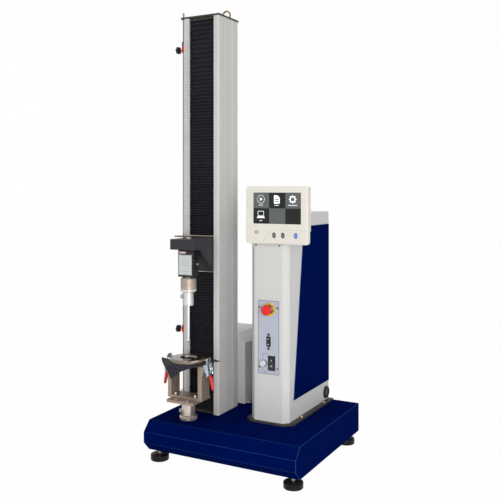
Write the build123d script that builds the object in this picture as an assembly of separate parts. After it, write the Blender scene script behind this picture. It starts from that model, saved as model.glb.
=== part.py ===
from build123d import *
import os
from math import cos, pi, radians, sin

# Single-column bench tester: a navy steel base, an extruded column with pleated
# bellows, a crosshead on a ball screw, a puncture fixture and a control console.
# Millimetres. X to the right, Y to the rear, Z up from the floor, and the origin
# is the middle of the base on the floor.

# Base
base_width = 560.0
base_depth = 547.0
base_height = 100.0
base_sheet = 3.0
nose_low_run = 30.0
nose_low_rise = 31.0
nose_top_run = 32.0
nose_top_rise = 33.0
frame_plate = 10.0
frame_inset = 14.0
beam_width = 30.0
beam_depth = 40.0
spigot_nut_room = 23.0
boss_radius = 18.0

# Levelling feet
foot_height = 35.0
foot_inset_x = 31.0
foot_inset_y = 49.5
pad_radius = 31.0
pad_height = 22.0
pad_step = 7.0
stud_radius = 6.0
stud_engagement = 50.0
thread_clearance = 0.05
nut_height = 7.0
nut_across = 19.0

# Column
column_height = 1381.0
column_centre_x = -164.5
column_width = 143.0
column_depth = 95.5
column_front_y = -96.5
column_wall = 6.0
flange_thick = 8.0
column_opening = 102.0
groove_offsets = (11.5, 33.5, 49.5)
groove_width = 2.4
groove_depth = 1.0
rear_cover_depth = 39.6
rear_cover_wall = 3.0
top_plate_thick = 6.0
top_plate_overhang = 1.5
ear_reach = 14.0
ear_length = 22.0
ring_radius = 15.0
ring_wire = 3.2
ring_sides = 12
eye_collar_radius = 8.5
eye_collar_height = 5.0
eye_x = 34.5
eye_y = 20.0

# Guides and screw
rail_width = 15.0
rail_depth = 14.0
rail_spacing = 84.0
rail_end_gap = 2.0
screw_radius = 8.0
screw_back = 39.0
bearing_height = 22.0
bearing_width = 56.0
bearing_depth = 26.0
running_clearance = 0.05
sliding_gap = 0.3

# Belt drive below the deck
pulley_height = 18.0
pulley_gap = 1.0
screw_pulley_radius = 30.0
motor_pulley_radius = 20.0
belt_thick = 2.0
belt_width = 14.0
belt_gap = 0.3
motor_y = 150.0
motor_side = 86.0
motor_length = 150.0
motor_shaft_radius = 7.0
shaft_engagement = 30.0
deck_hole_radius = 16.0

# Motor cover
motor_cover_width = 167.0
motor_cover_depth = 181.0
motor_cover_height = 254.0
motor_cover_chamfer = 33.0
motor_cover_wall = 2.0
motor_cover_shift = 10.0
tab_width = 16.0
tab_reach = 12.0
tab_thick = 2.0

# Bellows
bellows_width = 108.0
bellows_depth = 12.0
bellows_recess = 11.0
bellows_sheet = 1.2
bellows_pleats = 46
strip_height = 8.0
strip_thick = 2.0

# Crosshead and carriage
test_reach = 80.0
head_low = 494.0
head_top = 616.0
arm_width = 96.0
arm_low = 576.0
arm_high = 611.0
arm_reach = 120.0
gusset_thick = 9.0
gusset_start = 76.2
gusset_toe = 6.0
back_plate = 9.0
carriage_width = 110.0
carriage_plate = 25.0
bearing_block_width = 26.0
bearing_block_setback = 4.0
nut_housing_width = 44.0
nut_housing_depth = 40.0
nut_housing_height = 48.0
striker_thick = 4.0
striker_width = 14.0
striker_front = 19.0
striker_tip = 26.0
striker_hole = 5.0

# Load cell
cell_width = 63.0
cell_depth = 26.5
cell_height = 89.0
cell_low = 483.0
cell_cover = 3.5
cell_slot = 4.0
cell_slot_reach = 46.0
cell_slot_edge = 22.0
bolt_radius = 6.0
bolt_head_radius = 9.5
bolt_head_height = 6.0
bolt_engagement = 15.0
lead_socket_radius = 3.6
lead_socket_length = 5.0
lead_socket_rise = 44.0
lead_socket_shift = 1.4

# Probe chain
adapter_radius = 27.0
adapter_low = 432.0
adapter_high = 479.0
adapter_ring = 11.0
adapter_chamfer = 1.8
neck_radius = 12.0
socket_radius = 17.5
socket_low = 386.0
socket_spigot_radius = 10.0
socket_spigot_length = 26.0
probe_radius = 5.0
probe_shank_top = 428.0
probe_tip = 263.0
probe_ball_radius = 5.5
pin_radius = 3.0
pin_height = 415.0
knob_pin_radius = 8.2
knob_pin_length = 9.0
knob_pin_gap = 2.0
knob_flutes = 16
flute_depth = 0.7

# Lower fixture
locknut_radius = 29.5
locknut_height = 15.0
spigot_radius = 22.5
spigot_low = 15.2
spigot_high = 57.0
peg_radius = 14.0
peg_height = 50.0
peg_drop = 32.0
flange_radius = 34.0
flange_high = 65.0
lower_pin_height = 24.5
plate_width = 107.0
plate_depth = 110.0
plate_high = 74.0
yoke_width = 135.5
yoke_depth = 51.0
yoke_side = 15.0
yoke_web = 9.0
ring_seat = 188.0
lower_ring_thick = 10.0
clamp_ring_radius = 65.0
clamp_hole_radius = 23.5
specimen_thick = 1.2
upper_ring_thick = 11.0
ring_bevel = 4.0
ear_pin_radius = 5.0
ear_pin_reach = 88.0
specimen_side = 70.0
specimen_notch = 19.0
specimen_corner = 108.0
specimen_turn = 20.0
specimen_droop_angle = 62.0
specimen_fold_half = 22.0
specimen_left_short = 18.0

# Toggle clamps
clamp_offset = 11.0
clamp_pivot_z = 192.0
clamp_throw = 17.0
hook_leg_spread = 20.0
hook_wire = 2.5
hook_tail = 23.0
cheek_gap = 27.0
cheek_thick = 2.0
cheek_radius = 6.0
rivet_radius = 3.0
bracket_thick = 3.0
bracket_ear = 2.0
bracket_low = 160.0
lever_web_start = 9.5
lever_web_length = 8.0
lever_bar_shift = 3.4
lever_lean = 13.0
lever_bar_width = 10.0
lever_bar_thick = 4.0
hook_nut_radius = 3.3
grip_length = 45.0
grip_top = 152.0
grip_radius = 7.5
grip_tip_radius = 5.0

# Limit rod
rod_radius = 3.0
rod_offset = 7.0
rod_y = -88.0
rod_top = 1405.0
rod_drop = 50.0
collar_radius = 6.5
collar_length = 24.5
upper_collar_low = 1264.0
lower_collar_low = 274.0
bumper_length = 14.5
star_radius = 13.0
star_thick = 9.0
star_gap = 17.0
star_lobes = 6
star_stud_radius = 2.5
star_hub_radius = 6.0
scale_low = 60.0
scale_top = 1307.0
scale_width = 14.0
scale_thick = 0.8
switch_width = 24.0
switch_height = 26.0

# Console
console_width = 139.6
console_centre_x = 94.3
console_front_y = -89.4
console_rear_y = 268.0
console_height = 698.0
console_wall = 2.0
console_chamfer = 18.0
console_top_round = 10.0
console_cap_height = 12.0
console_flange_height = 6.0
console_flange_side = 17.0
console_flange_front = 10.0
console_flange_rear = 3.0
console_flange_chamfer = 26.0
flange_screw_front = 91.4
flange_screw_rear = 70.0
flange_screw_radius = 4.5
flange_screw_height = 4.0
lead_opening_side = 30.0
lead_opening_front = 40.0
lead_opening_depth = 89.4
side_panel_thick = 1.5
side_panel_low = 73.0
side_panel_top_gap = 46.0
side_panel_front_low = 49.0
side_panel_front_high = 130.4
connector_radius = 22.0
connector_rear = 28.5
connector_height = 34.0
connector_reach = 7.0
window_margin = 10.0

# Control panel
panel_shift = 1.95
panel_width = 78.5
panel_low = 164.0
panel_height = 245.0
panel_thick = 1.5
panel_corner = 3.0
estop_across = 41.0
estop_drop = 29.3
estop_ring_radius = 22.3
estop_ring_thick = 2.0
estop_collar_radius = 12.5
estop_collar_length = 8.0
estop_body_length = 20.0
estop_head_radius = 17.0
estop_head_length = 13.0
estop_dome = 5.0
estop_skirt = 3.0
estop_stem_radius = 6.0
estop_travel = 4.0
rocker_across = 39.2
rocker_rise = 108.5
rocker_width = 16.0
rocker_length = 35.0
power_across = 50.5
power_rise = 37.6
power_width = 27.0
power_length = 49.0
frame_rim = 2.5
frame_proud = 1.6
rocker_depth = 9.0
rocker_crown = 2.2
knob_across = 23.0
knob_rise = 36.0
knob_radius = 10.5
knob_length = 14.0
knob_shaft_radius = 3.0

# Display
display_shift = 44.7
display_width = 224.0
display_drop = 98.0
display_height = 189.0
display_front_depth = 14.0
display_back_depth = 14.0
display_lip_depth = 5.0
display_lip_height = 38.0
display_corner = 9.0
display_wall = 3.0
screen_left_margin = 27.5
screen_right_margin = 23.5
screen_low_margin = 66.0
screen_top_margin = 20.5
screen_recess = 0.8
screen_thick = 5.0
screen_lap = 8.0
ledge_left = 62.0
ledge_slope = 29.6
ledge_rise = 4.0
ledge_height = 43.0
ledge_margin = 5.0
ledge_proud = 0.5
button_margins = (120.0, 88.0, 42.0)
button_rise = 29.0
button_half_width = 6.5
button_half_height = 9.5
button_proud = 1.2
button_length = 8.0
button_gap = 0.3
key_board_side = 20.0
key_board_half = 16.0
bracket_inset = 12.0
bracket_width = 109.0
bracket_drop = 12.0
bracket_height = 102.0
bracket_gap = 2.6

# Drive unit
drive_width = 90.0
drive_depth = 160.0
drive_height = 230.0
drive_rear_gap = 48.0
fin_pitch = 16.0
fin_slot = 8.0
fin_depth = 6.0
fin_start = 20.0

# Screws
screw_head_radius = 3.2
screw_head_height = 2.0

# Levels and planes that follow from the sizes
deck = foot_height + base_height
foot_spread_x = base_width - 2 * foot_inset_x
foot_spread_y = base_depth - 2 * foot_inset_y
column_top = deck + column_height
column_rear_y = column_front_y + column_depth
column_left_x = column_centre_x - column_width / 2
inner_rear_y = column_rear_y - column_wall
test_y = column_front_y - test_reach
screw_y = column_rear_y - screw_back
bellows_front_y = column_front_y + bellows_recess
yoke_face = yoke_width / 2
clamp_x = yoke_face + clamp_offset
rod_x = column_left_x - rod_offset
specimen_low = ring_seat + lower_ring_thick
upper_ring_low = specimen_low + specimen_thick
ear_pin_z = upper_ring_low + upper_ring_thick / 2
panel_face_y = console_front_y - panel_thick
bracket_face_y = console_front_y - bracket_gap
display_front_y = bracket_face_y - display_back_depth - display_front_depth
display_low = console_height - display_drop
display_high = display_low + display_height
display_left_x = console_centre_x + display_shift - display_width / 2
display_right_x = display_left_x + display_width
screen_left_x = display_left_x + screen_left_margin
screen_right_x = display_right_x - screen_right_margin
screen_low = display_low + screen_low_margin
screen_high = display_high - screen_top_margin
button_xs = [display_right_x - margin for margin in button_margins]
button_height = display_low + button_rise
bracket_left_x = display_left_x + bracket_inset
bracket_right_x = bracket_left_x + bracket_width
bracket_plate_low = display_low - bracket_drop
bracket_plate_high = bracket_plate_low + bracket_height
panel_left_x = console_centre_x + panel_shift - panel_width / 2
panel_right_x = panel_left_x + panel_width
panel_high = panel_low + panel_height
estop_x = panel_left_x + estop_across
estop_height = panel_high - estop_drop
rocker_x = panel_left_x + rocker_across
rocker_height = panel_low + rocker_rise
power_x = panel_left_x + power_across
power_height = panel_low + power_rise
knob_x = panel_left_x + knob_across
knob_height = panel_low + knob_rise
beam_low = deck - base_sheet - frame_plate - beam_depth
pulley_low = beam_low - pulley_gap - pulley_height
motor_cover_front_y = motor_y - motor_cover_depth / 2 + motor_cover_shift


def block(x, y, z):
    """Return a box that fills three (low, high) ranges."""
    size = (x[1] - x[0], y[1] - y[0], z[1] - z[0])
    middle = ((x[0] + x[1]) / 2, (y[0] + y[1]) / 2, (z[0] + z[1]) / 2)
    return Pos(*middle) * Box(*size)


def upright(x, y, low, high, radius):
    """Return a vertical cylinder between two levels."""
    return Pos(x, y, (low + high) / 2) * Cylinder(radius, high - low)


def across_x(low, high, y, z, radius):
    """Return a cylinder along X."""
    turned = Rot(0, 90, 0) * Cylinder(radius, high - low)
    return Pos((low + high) / 2, y, z) * turned


def across_y(low, high, x, z, radius):
    """Return a cylinder along Y."""
    turned = Rot(90, 0, 0) * Cylinder(radius, high - low)
    return Pos(x, (low + high) / 2, z) * turned


def side_profile(points, low_x, high_x):
    """Extrude a (Y, Z) outline between two X planes."""
    face = make_face(Polyline(*points, close=True))
    plane = Plane(origin=(low_x, 0, 0), x_dir=(0, 1, 0), z_dir=(1, 0, 0))
    return extrude(plane * face, high_x - low_x)


def front_profile(points, front_y, rear_y):
    """Extrude an (X, Z) outline between two Y planes."""
    face = make_face(Polyline(*points, close=True))
    plane = Plane(origin=(0, rear_y, 0), x_dir=(1, 0, 0), z_dir=(0, -1, 0))
    return extrude(plane * face, rear_y - front_y)


def turned(points, x, y):
    """Revolve an (radius, Z) outline about a vertical axis."""
    face = make_face(Polyline(*points, close=True))
    return Pos(x, y, 0) * revolve(Plane.XZ * face, Axis.Z)


def turned_to_rear(points, x, front, z):
    """Revolve a (radius, depth) outline about an axis along Y, from its front plane."""
    face = make_face(Polyline(*points, close=True))
    return Pos(x, front, z) * Rot(-90, 0, 0) * revolve(Plane.XZ * face, Axis.Z)


def hexagon(x, y, low, high, across):
    """Return a vertical hexagonal nut blank."""
    face = RegularPolygon(across / 2, 6, major_radius=False)
    return Pos(x, y, low) * extrude(face, high - low)


def write(name, *solids):
    """Write one sub-part, as one or several separate solids."""
    shape = solids[0] if len(solids) == 1 else Compound(children=list(solids))
    shape.label = name
    export_step(shape, f"parts/{name}.step")


def base_outline(inset):
    """Return the (Y, Z) corners of the folded base cover."""
    front = -base_depth / 2 + inset
    low_front = front + nose_low_run
    top_front = front + nose_top_run
    return [
        (low_front, foot_height),
        (front, foot_height + nose_low_rise),
        (front, deck - nose_top_rise),
        (top_front, deck - inset),
        (base_depth / 2 - inset, deck - inset),
        (base_depth / 2 - inset, foot_height),
    ]


def deck_cutouts(low, high):
    """Return the shafts and leads that pass down through the deck."""
    return [
        upright(column_centre_x, screw_y, low, high, deck_hole_radius),
        upright(column_centre_x, motor_y, low, high, deck_hole_radius),
        upright(column_centre_x, test_y, low, high, bolt_radius * 2 + thread_clearance),
        upright(rod_x, rod_y, low, high, rod_radius + sliding_gap),
        upright(console_centre_x, 0, low, high, deck_hole_radius),
    ]


def make_base_cover():
    outer = side_profile(base_outline(0), -base_width / 2, base_width / 2)
    inner_half = base_width / 2 - base_sheet
    hollow = side_profile(base_outline(base_sheet), -inner_half, inner_half)
    cover = outer - hollow
    for cutout in deck_cutouts(deck - base_sheet * 2, deck + 1):
        cover -= cutout
    return cover


def foot_places():
    half_x = foot_spread_x / 2
    half_y = foot_spread_y / 2
    return [(x, y) for x in (-half_x, half_x) for y in (-half_y, half_y)]


def make_base_frame():
    top = deck - base_sheet
    half = base_width / 2 - frame_inset
    rear = base_depth / 2 - base_sheet - 1
    front = -base_depth / 2 + nose_top_run + base_sheet + 2
    frame = block((-half, half), (front, rear), (top - frame_plate, top))
    boss_low = foot_height + nut_height + 1
    for y in (-foot_spread_y / 2, foot_spread_y / 2):
        beam_y = (y - beam_width / 2, y + beam_width / 2)
        frame += block((-half, half), beam_y, (top - frame_plate - beam_depth, top - frame_plate))
    for x, y in foot_places():
        frame += upright(x, y, boss_low, top - frame_plate, boss_radius)
    for x, y in foot_places():
        frame -= upright(x, y, boss_low - 1, top - frame_plate - 1, stud_radius + thread_clearance)
    for cutout in deck_cutouts(beam_low - 1, top + 1):
        frame -= cutout
    return frame - upright(column_centre_x, test_y, beam_low - 1, top - frame_plate, spigot_nut_room)


def make_levelling_feet():
    """Rubber pads with moulded steps, and the threaded studs that stand in them."""
    feet = []
    stud_low = pad_height / 2
    boss_low = foot_height + nut_height + 1
    shoulder = pad_radius * 0.62
    crown = pad_radius * 0.45
    for x, y in foot_places():
        outline = [
            (0, 0),
            (pad_radius - 1.5, 0),
            (pad_radius, 2),
            (pad_radius, pad_height - pad_step - 4),
            (shoulder + 5, pad_height - pad_step),
            (shoulder, pad_height - pad_step + 1),
            (crown, pad_height),
            (stud_radius + thread_clearance, pad_height),
            (stud_radius + thread_clearance, stud_low),
            (0, stud_low),
        ]
        feet.append(turned(outline, x, y))
        stud = upright(x, y, stud_low, boss_low + stud_engagement, stud_radius)
        stud += hexagon(x, y, boss_low - nut_height, boss_low, nut_across)
        feet.append(stud)
    return feet


def make_column_profile():
    outer = Rectangle(column_width, column_depth)
    inner_width = column_width - 2 * column_wall
    inner_depth = column_depth - column_wall - flange_thick
    shift = (flange_thick - column_wall) / 2
    section = outer - Pos(0, shift) * Rectangle(inner_width, inner_depth)
    section -= Pos(0, -column_depth / 2 + flange_thick / 2) * Rectangle(column_opening, flange_thick + 1)
    for offset in groove_offsets:
        groove_y = -column_depth / 2 + offset
        for side in (-1, 1):
            groove = Rectangle(2 * groove_depth, groove_width)
            section -= Pos(side * column_width / 2, groove_y) * groove
    place = Pos(column_centre_x, column_front_y + column_depth / 2, deck)
    return place * extrude(section, column_height)


def make_column_rear_cover():
    half = column_width / 2
    low_y = column_rear_y
    high_y = low_y + rear_cover_depth
    levels = (deck, column_top)
    cover = block((column_centre_x - half, column_centre_x + half), (low_y, high_y), levels)
    cover = fillet(cover.edges().filter_by(Axis.Z).group_by(Axis.Y)[-1], 3)
    inner = half - rear_cover_wall
    inner_x = (column_centre_x - inner, column_centre_x + inner)
    return cover - block(inner_x, (low_y - 1, high_y - rear_cover_wall), levels)


def make_top_plate():
    """The black cap, with the lug that holds the limit rod."""
    half = column_width / 2 + top_plate_overhang
    front = column_front_y - top_plate_overhang
    rear = column_rear_y + rear_cover_depth + top_plate_overhang
    levels = (column_top, column_top + top_plate_thick)
    plate = block((column_centre_x - half, column_centre_x + half), (front, rear), levels)
    lug_x = (column_left_x - ear_reach, column_left_x)
    lug = block(lug_x, (front, front + ear_length), levels)
    lug = fillet(lug.edges().filter_by(Axis.Z).group_by(Axis.X)[0], ear_reach * 0.35)
    plate += lug
    plate -= upright(rod_x, rod_y, levels[0] - 1, levels[1] + 1, rod_radius + sliding_gap)
    eye = (column_centre_x + eye_x, eye_y)
    return plate - upright(*eye, levels[0] - 1, levels[1] + 1, bolt_radius + thread_clearance)


def make_eye_bolt():
    x = column_centre_x + eye_x
    seat = column_top + top_plate_thick
    ring_z = seat + eye_collar_height - 1 + ring_radius
    wire = Pos(ring_radius, 0) * RegularPolygon(ring_wire, ring_sides)
    ring = Pos(x, eye_y, ring_z) * Rot(90, 0, 0) * revolve(Plane.XZ * wire, Axis.Z)
    collar = upright(x, eye_y, seat, seat + eye_collar_height, eye_collar_radius)
    shank = upright(x, eye_y, column_top - 12, seat, bolt_radius)
    nut = hexagon(x, eye_y, column_top - 10, column_top, nut_across)
    return ring + collar + shank + nut


def make_guide_rails():
    rails = []
    levels = (deck + rail_end_gap, column_top - rail_end_gap)
    neck = rail_width * 0.3
    for side in (-1, 1):
        x = column_centre_x + side * rail_spacing / 2
        rail = block(
            (x - rail_width / 2, x + rail_width / 2),
            (inner_rear_y - rail_depth, inner_rear_y),
            levels,
        )
        for flank in (-1, 1):
            edge = x + flank * rail_width / 2
            middle = inner_rear_y - rail_depth * 0.5
            rail -= block((edge - neck / 2, edge + neck / 2), (middle - 1.5, middle + 1.5), levels)
        rails.append(rail)
    return rails


def make_screw_bearings():
    bearings = []
    top_low = column_top - rail_end_gap - bearing_height - 17
    for low in (deck, top_low):
        x = (column_centre_x - bearing_width / 2, column_centre_x + bearing_width / 2)
        y = (screw_y - bearing_depth / 2, inner_rear_y)
        body = block(x, y, (low, low + bearing_height))
        bore = screw_radius + running_clearance
        bearings.append(body - upright(column_centre_x, screw_y, low - 1, low + bearing_height + 1, bore))
    return bearings


def make_ball_screw():
    """The screw and the toothed pulley pressed on its lower end."""
    top = column_top - rail_end_gap - 12
    screw = upright(column_centre_x, screw_y, pulley_low, top, screw_radius)
    screw -= upright(column_centre_x, screw_y, top - 1, top + 1, screw_radius / 3)
    return [screw, make_pulley(screw_y, screw_pulley_radius, screw_radius + 0.02)]


def make_pulley(y, radius, bore):
    """A flat-topped tooth ring between two flanges, with a hub bore."""
    low = pulley_low
    high = pulley_low + pulley_height
    rim = (pulley_height - belt_width) / 2
    body = upright(column_centre_x, y, low, high, radius - 1)
    tooth_count = int(radius)
    for step in range(tooth_count):
        angle = 360 * step / tooth_count
        tooth = Pos(radius - 1.5, 0, (low + high) / 2) * Box(3, pi * radius / tooth_count, belt_width)
        body += Pos(column_centre_x, y, 0) * Rot(0, 0, angle) * (tooth & Cylinder(radius, high * 3))
    for flange_low in (low, high - rim + 0.5):
        body += upright(column_centre_x, y, flange_low, flange_low + rim - 0.5, radius + belt_thick + 1)
    return body - upright(column_centre_x, y, low - 1, high + 1, bore)


def make_motor_pulley():
    shaft_top = deck + shaft_engagement
    shaft = upright(column_centre_x, motor_y, pulley_low, shaft_top, motor_shaft_radius)
    return [shaft, make_pulley(motor_y, motor_pulley_radius, motor_shaft_radius + 0.02)]


def belt_loop(extra):
    """Return the filled outline round both pulleys, grown by a margin."""
    span = motor_y - screw_y
    big = screw_pulley_radius + extra
    small = motor_pulley_radius + extra
    lean = (screw_pulley_radius - motor_pulley_radius) / span
    side = (1 - lean * lean) ** 0.5
    sides = Polyline(
        (big * side, big * lean),
        (small * side, span + small * lean),
        (-small * side, span + small * lean),
        (-big * side, big * lean),
        close=True,
    )
    return make_face(sides) + Circle(big) + Pos(0, span) * Circle(small)


def make_timing_belt():
    loop = belt_loop(belt_gap + belt_thick) - belt_loop(belt_gap)
    low = pulley_low + (pulley_height - belt_width) / 2 + 0.5
    return Pos(column_centre_x, screw_y, low) * extrude(loop, belt_width - 1)


def make_drive_motor():
    half = motor_side / 2
    x = (column_centre_x - half, column_centre_x + half)
    y = (motor_y - half, motor_y + half)
    flange = block(x, y, (deck, deck + 12))
    body = block((x[0] + 3, x[1] - 3), (y[0] + 3, y[1] - 3), (deck + 12, deck + motor_length))
    body = chamfer(body.edges().filter_by(Axis.Z), 9)
    bell = upright(column_centre_x, motor_y, deck + motor_length, deck + motor_length + 30, half * 0.7)
    motor = flange + body + bell
    bore = motor_shaft_radius + running_clearance
    return motor - upright(column_centre_x, motor_y, deck - 1, deck + shaft_engagement + 1, bore)


def motor_cover_outline(inset, low):
    half = motor_cover_width / 2 - inset
    top = deck + motor_cover_height - inset
    slope = motor_cover_chamfer - inset * 0.4
    left = column_centre_x - half
    right = column_centre_x + half
    return [
        (left, low),
        (right, low),
        (right, top - slope),
        (right - slope, top),
        (left + slope, top),
        (left, top - slope),
    ]


def make_motor_cover():
    front = motor_cover_front_y
    rear = front + motor_cover_depth
    wall = motor_cover_wall
    cover = front_profile(motor_cover_outline(0, deck), front, rear)
    cover -= front_profile(motor_cover_outline(wall, deck - 1), front + wall, rear - wall)
    for side in (-1, 1):
        face = column_centre_x + side * motor_cover_width / 2
        reach = face + side * tab_reach
        for y in (front + 14, rear - 14 - tab_width):
            tab = block((min(face, reach), max(face, reach)), (y, y + tab_width), (deck, deck + tab_thick))
            cover += tab
    return cover


def tab_screw_places():
    rear = motor_cover_front_y + motor_cover_depth
    offset = motor_cover_width / 2 + tab_reach * 0.55
    rows = (motor_cover_front_y + 14 + tab_width / 2, rear - 14 - tab_width / 2)
    return [(column_centre_x + side * offset, y) for side in (-1, 1) for y in rows]


def pleated_sheet(low, high):
    """Return one bellows: a zigzag sheet drawn in (Y, Z) and extruded across."""
    pitch = (high - low) / bellows_pleats
    front = bellows_front_y
    rear = front + bellows_depth
    half_x = bellows_width / 2
    outer = [(front, low)]
    inner = []
    for fold in range(bellows_pleats):
        base = low + fold * pitch
        outer.append((rear - bellows_sheet, base + pitch / 2))
        outer.append((front, base + pitch))
        inner.append((front + bellows_sheet * 2, base))
        inner.append((rear, base + pitch / 2))
    inner.append((front + bellows_sheet * 2, high))
    points = outer + inner[::-1]
    return side_profile(points, column_centre_x - half_x, column_centre_x + half_x)


def make_upper_bellows():
    return pleated_sheet(deck + head_top, column_top)


def make_lower_bellows():
    return pleated_sheet(deck, deck + head_low)


def make_bellows_strips():
    half = column_opening / 2 - 1
    x = (column_centre_x - half, column_centre_x + half)
    y = (bellows_front_y - strip_thick, bellows_front_y)
    return [
        block(x, y, (column_top - strip_height, column_top)),
        block(x, y, (deck, deck + strip_height)),
    ]


def make_crosshead():
    """One machined bracket: arm, two gussets and the plate that meets the carriage."""
    front = column_front_y - arm_reach
    back = bellows_front_y + 0.5
    low = deck + head_low
    outline = [
        (front, deck + arm_low),
        (front, deck + arm_high),
        (back - back_plate, deck + arm_high),
        (back - back_plate, deck + head_top),
        (back, deck + head_top),
        (back, low),
        (back - back_plate, low),
        (back - back_plate, low + gusset_toe),
        (column_front_y - gusset_start, deck + arm_low),
    ]
    half = arm_width / 2
    bracket = side_profile(outline, column_centre_x - half, column_centre_x + half)
    inner = half - gusset_thick
    pocket_x = (column_centre_x - inner, column_centre_x + inner)
    bracket -= block(pocket_x, (front + 1, back - back_plate), (low - 1, deck + arm_low))
    bolt_bore = bolt_radius + thread_clearance
    arm_levels = (deck + arm_low - 1, deck + arm_high + 1)
    return bracket - upright(column_centre_x, test_y, *arm_levels, bolt_bore)


def make_carriage():
    """The plate behind the bellows, two rail bearings, the ball nut, and two end strips."""
    half = carriage_width / 2
    front = bellows_front_y + 0.5
    back = front + carriage_plate
    levels = (deck + head_low, deck + head_top)
    plate = block((column_centre_x - half, column_centre_x + half), (front, back), levels)
    return [plate, *make_rail_bearings(back, levels), make_ball_nut(back, levels), *make_head_strips(front)]


def make_rail_bearings(front, levels):
    """One long bearing block on each rail, open to the rear round the rail."""
    bearings = []
    rear = inner_rear_y - bearing_block_setback
    slot = rail_width / 2 + sliding_gap
    slot_front = inner_rear_y - rail_depth - sliding_gap
    tall = (levels[0] - 1, levels[1] + 1)
    for side in (-1, 1):
        x = column_centre_x + side * rail_spacing / 2
        half = bearing_block_width / 2
        bearing = block((x - half, x + half), (front, rear), levels)
        bearings.append(bearing - block((x - slot, x + slot), (slot_front, rear + 1), tall))
    return bearings


def make_ball_nut(front, levels):
    """The housing of the ball nut, bored for the screw, at the middle of the carriage."""
    half = nut_housing_width / 2
    middle = (levels[0] + levels[1]) / 2
    z = (middle - nut_housing_height / 2, middle + nut_housing_height / 2)
    y = (front, front + nut_housing_depth)
    housing = block((column_centre_x - half, column_centre_x + half), y, z)
    bore = screw_radius + running_clearance
    return housing - upright(column_centre_x, screw_y, z[0] - 1, z[1] + 1, bore)


def make_head_strips(front):
    """The strips that clamp the bellows above and below the crosshead."""
    half = arm_width / 2
    x = (column_centre_x - half, column_centre_x + half)
    y = (front - back_plate, bellows_front_y - 0.5)
    top = deck + head_top
    bottom = deck + head_low
    return [block(x, y, (top, top + strip_thick)), block(x, y, (bottom - strip_thick, bottom))]


def make_striker_arm():
    """The flat finger that meets the collars, round the limit rod."""
    low = deck + arm_high
    rear = column_front_y - 2
    front = rear - striker_width
    tip = rod_x - striker_tip
    root = column_centre_x - arm_width / 2 + striker_front
    levels = (low, low + striker_thick)
    arm = block((tip, root), (front, rear), levels)
    head_rear = rod_y + striker_hole + 4
    arm += block((tip, column_left_x - 1), (front, head_rear), levels)
    arm = fillet(arm.edges().filter_by(Axis.Z).group_by(Axis.X)[0], 6)
    return arm - upright(rod_x, rod_y, low - 1, low + striker_thick + 1, striker_hole)


def make_load_cell():
    """An S-beam with its two opposed slots, a cover plate, the top bolt and the lead's socket."""
    low = deck + cell_low
    high = low + cell_height
    half = cell_width / 2
    left = column_centre_x - half
    right = column_centre_x + half
    y = (test_y - cell_depth / 2, test_y + cell_depth / 2)
    body = block((left, right), y, (low, high))
    body = fillet(body.edges().filter_by(Axis.Y), 2)
    through = (y[0] - 1, y[1] + 1)
    upper = high - cell_slot_edge
    lower = low + cell_slot_edge
    body -= block((right - cell_slot_reach, right + 1), through, (upper - cell_slot, upper))
    body -= block((left - 1, left + cell_slot_reach), through, (lower, lower + cell_slot))
    body -= across_y(*through, column_centre_x, (low + high) / 2, cell_height * 0.12)
    stud_bore = bolt_radius + thread_clearance
    body -= upright(column_centre_x, test_y, high - bolt_engagement, high + 1, stud_bore)
    body -= upright(column_centre_x, test_y, low - 1, low + bolt_engagement, stud_bore)
    cover_y = (y[0] - cell_cover, y[0])
    cover = block((left, right - 4), cover_y, (low, high))
    cover = chamfer(cover.faces().sort_by(Axis.Y)[0].edges(), 0.8)
    arm_top = deck + arm_high
    bolt = upright(column_centre_x, test_y, high - bolt_engagement + 1, arm_top, bolt_radius)
    head_bore = bolt_head_radius * 0.45
    bolt_top = arm_top + bolt_head_height
    bolt += upright(column_centre_x, test_y, arm_top, bolt_top, bolt_head_radius)
    bolt = chamfer(bolt.edges().group_by(Axis.Z)[-1], 1)
    bolt -= hexagon(column_centre_x, test_y, bolt_top - 3, bolt_top + 1, head_bore * 2)
    spacer = upright(column_centre_x, test_y, high, deck + arm_low, bolt_head_radius + 4)
    spacer -= upright(column_centre_x, test_y, high - 1, deck + arm_low + 1, stud_bore)
    lead_z = low + lead_socket_rise
    lead_end = right + lead_socket_length
    lead_y = test_y + lead_socket_shift
    lead = across_x(right, lead_end, lead_y, lead_z, lead_socket_radius)
    lead += across_x(lead_end, lead_end + 3, lead_y, lead_z, lead_socket_radius * 0.6)
    return [body, cover, bolt, spacer, lead]


def make_probe_adapter():
    """The plain coupling below the cell, with a chamfered lock ring."""
    low = deck + adapter_low
    high = deck + adapter_high
    seam = low + adapter_ring
    radius = adapter_radius
    bore = socket_spigot_radius + running_clearance
    bore_top = low + socket_spigot_length + 1
    cell_face = deck + cell_low
    outline = [
        (bore, low),
        (radius - 3, low),
        (radius + 0.3, low + 3.5),
        (radius + 0.3, seam - 1.6),
        (radius - 1, seam - 0.6),
        (radius - 1, seam),
        (radius - 0.2, seam + 0.8),
        (radius - 0.2, high - adapter_chamfer),
        (radius - 0.2 - adapter_chamfer, high),
        (neck_radius, high),
        (neck_radius, cell_face),
        (bolt_radius, cell_face),
        (bolt_radius, cell_face + bolt_engagement - 1),
        (0, cell_face + bolt_engagement - 1),
        (0, bore_top),
        (bore, bore_top),
    ]
    adapter = turned(outline, column_centre_x, test_y)
    spanner_hole = Rot(0, 90, 0) * Cylinder(2, 12)
    place = Pos(column_centre_x, test_y, low + adapter_ring * 0.55)
    return adapter - place * Rot(0, 0, -62) * Pos(adapter_radius, 0, 0) * spanner_hole


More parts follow.
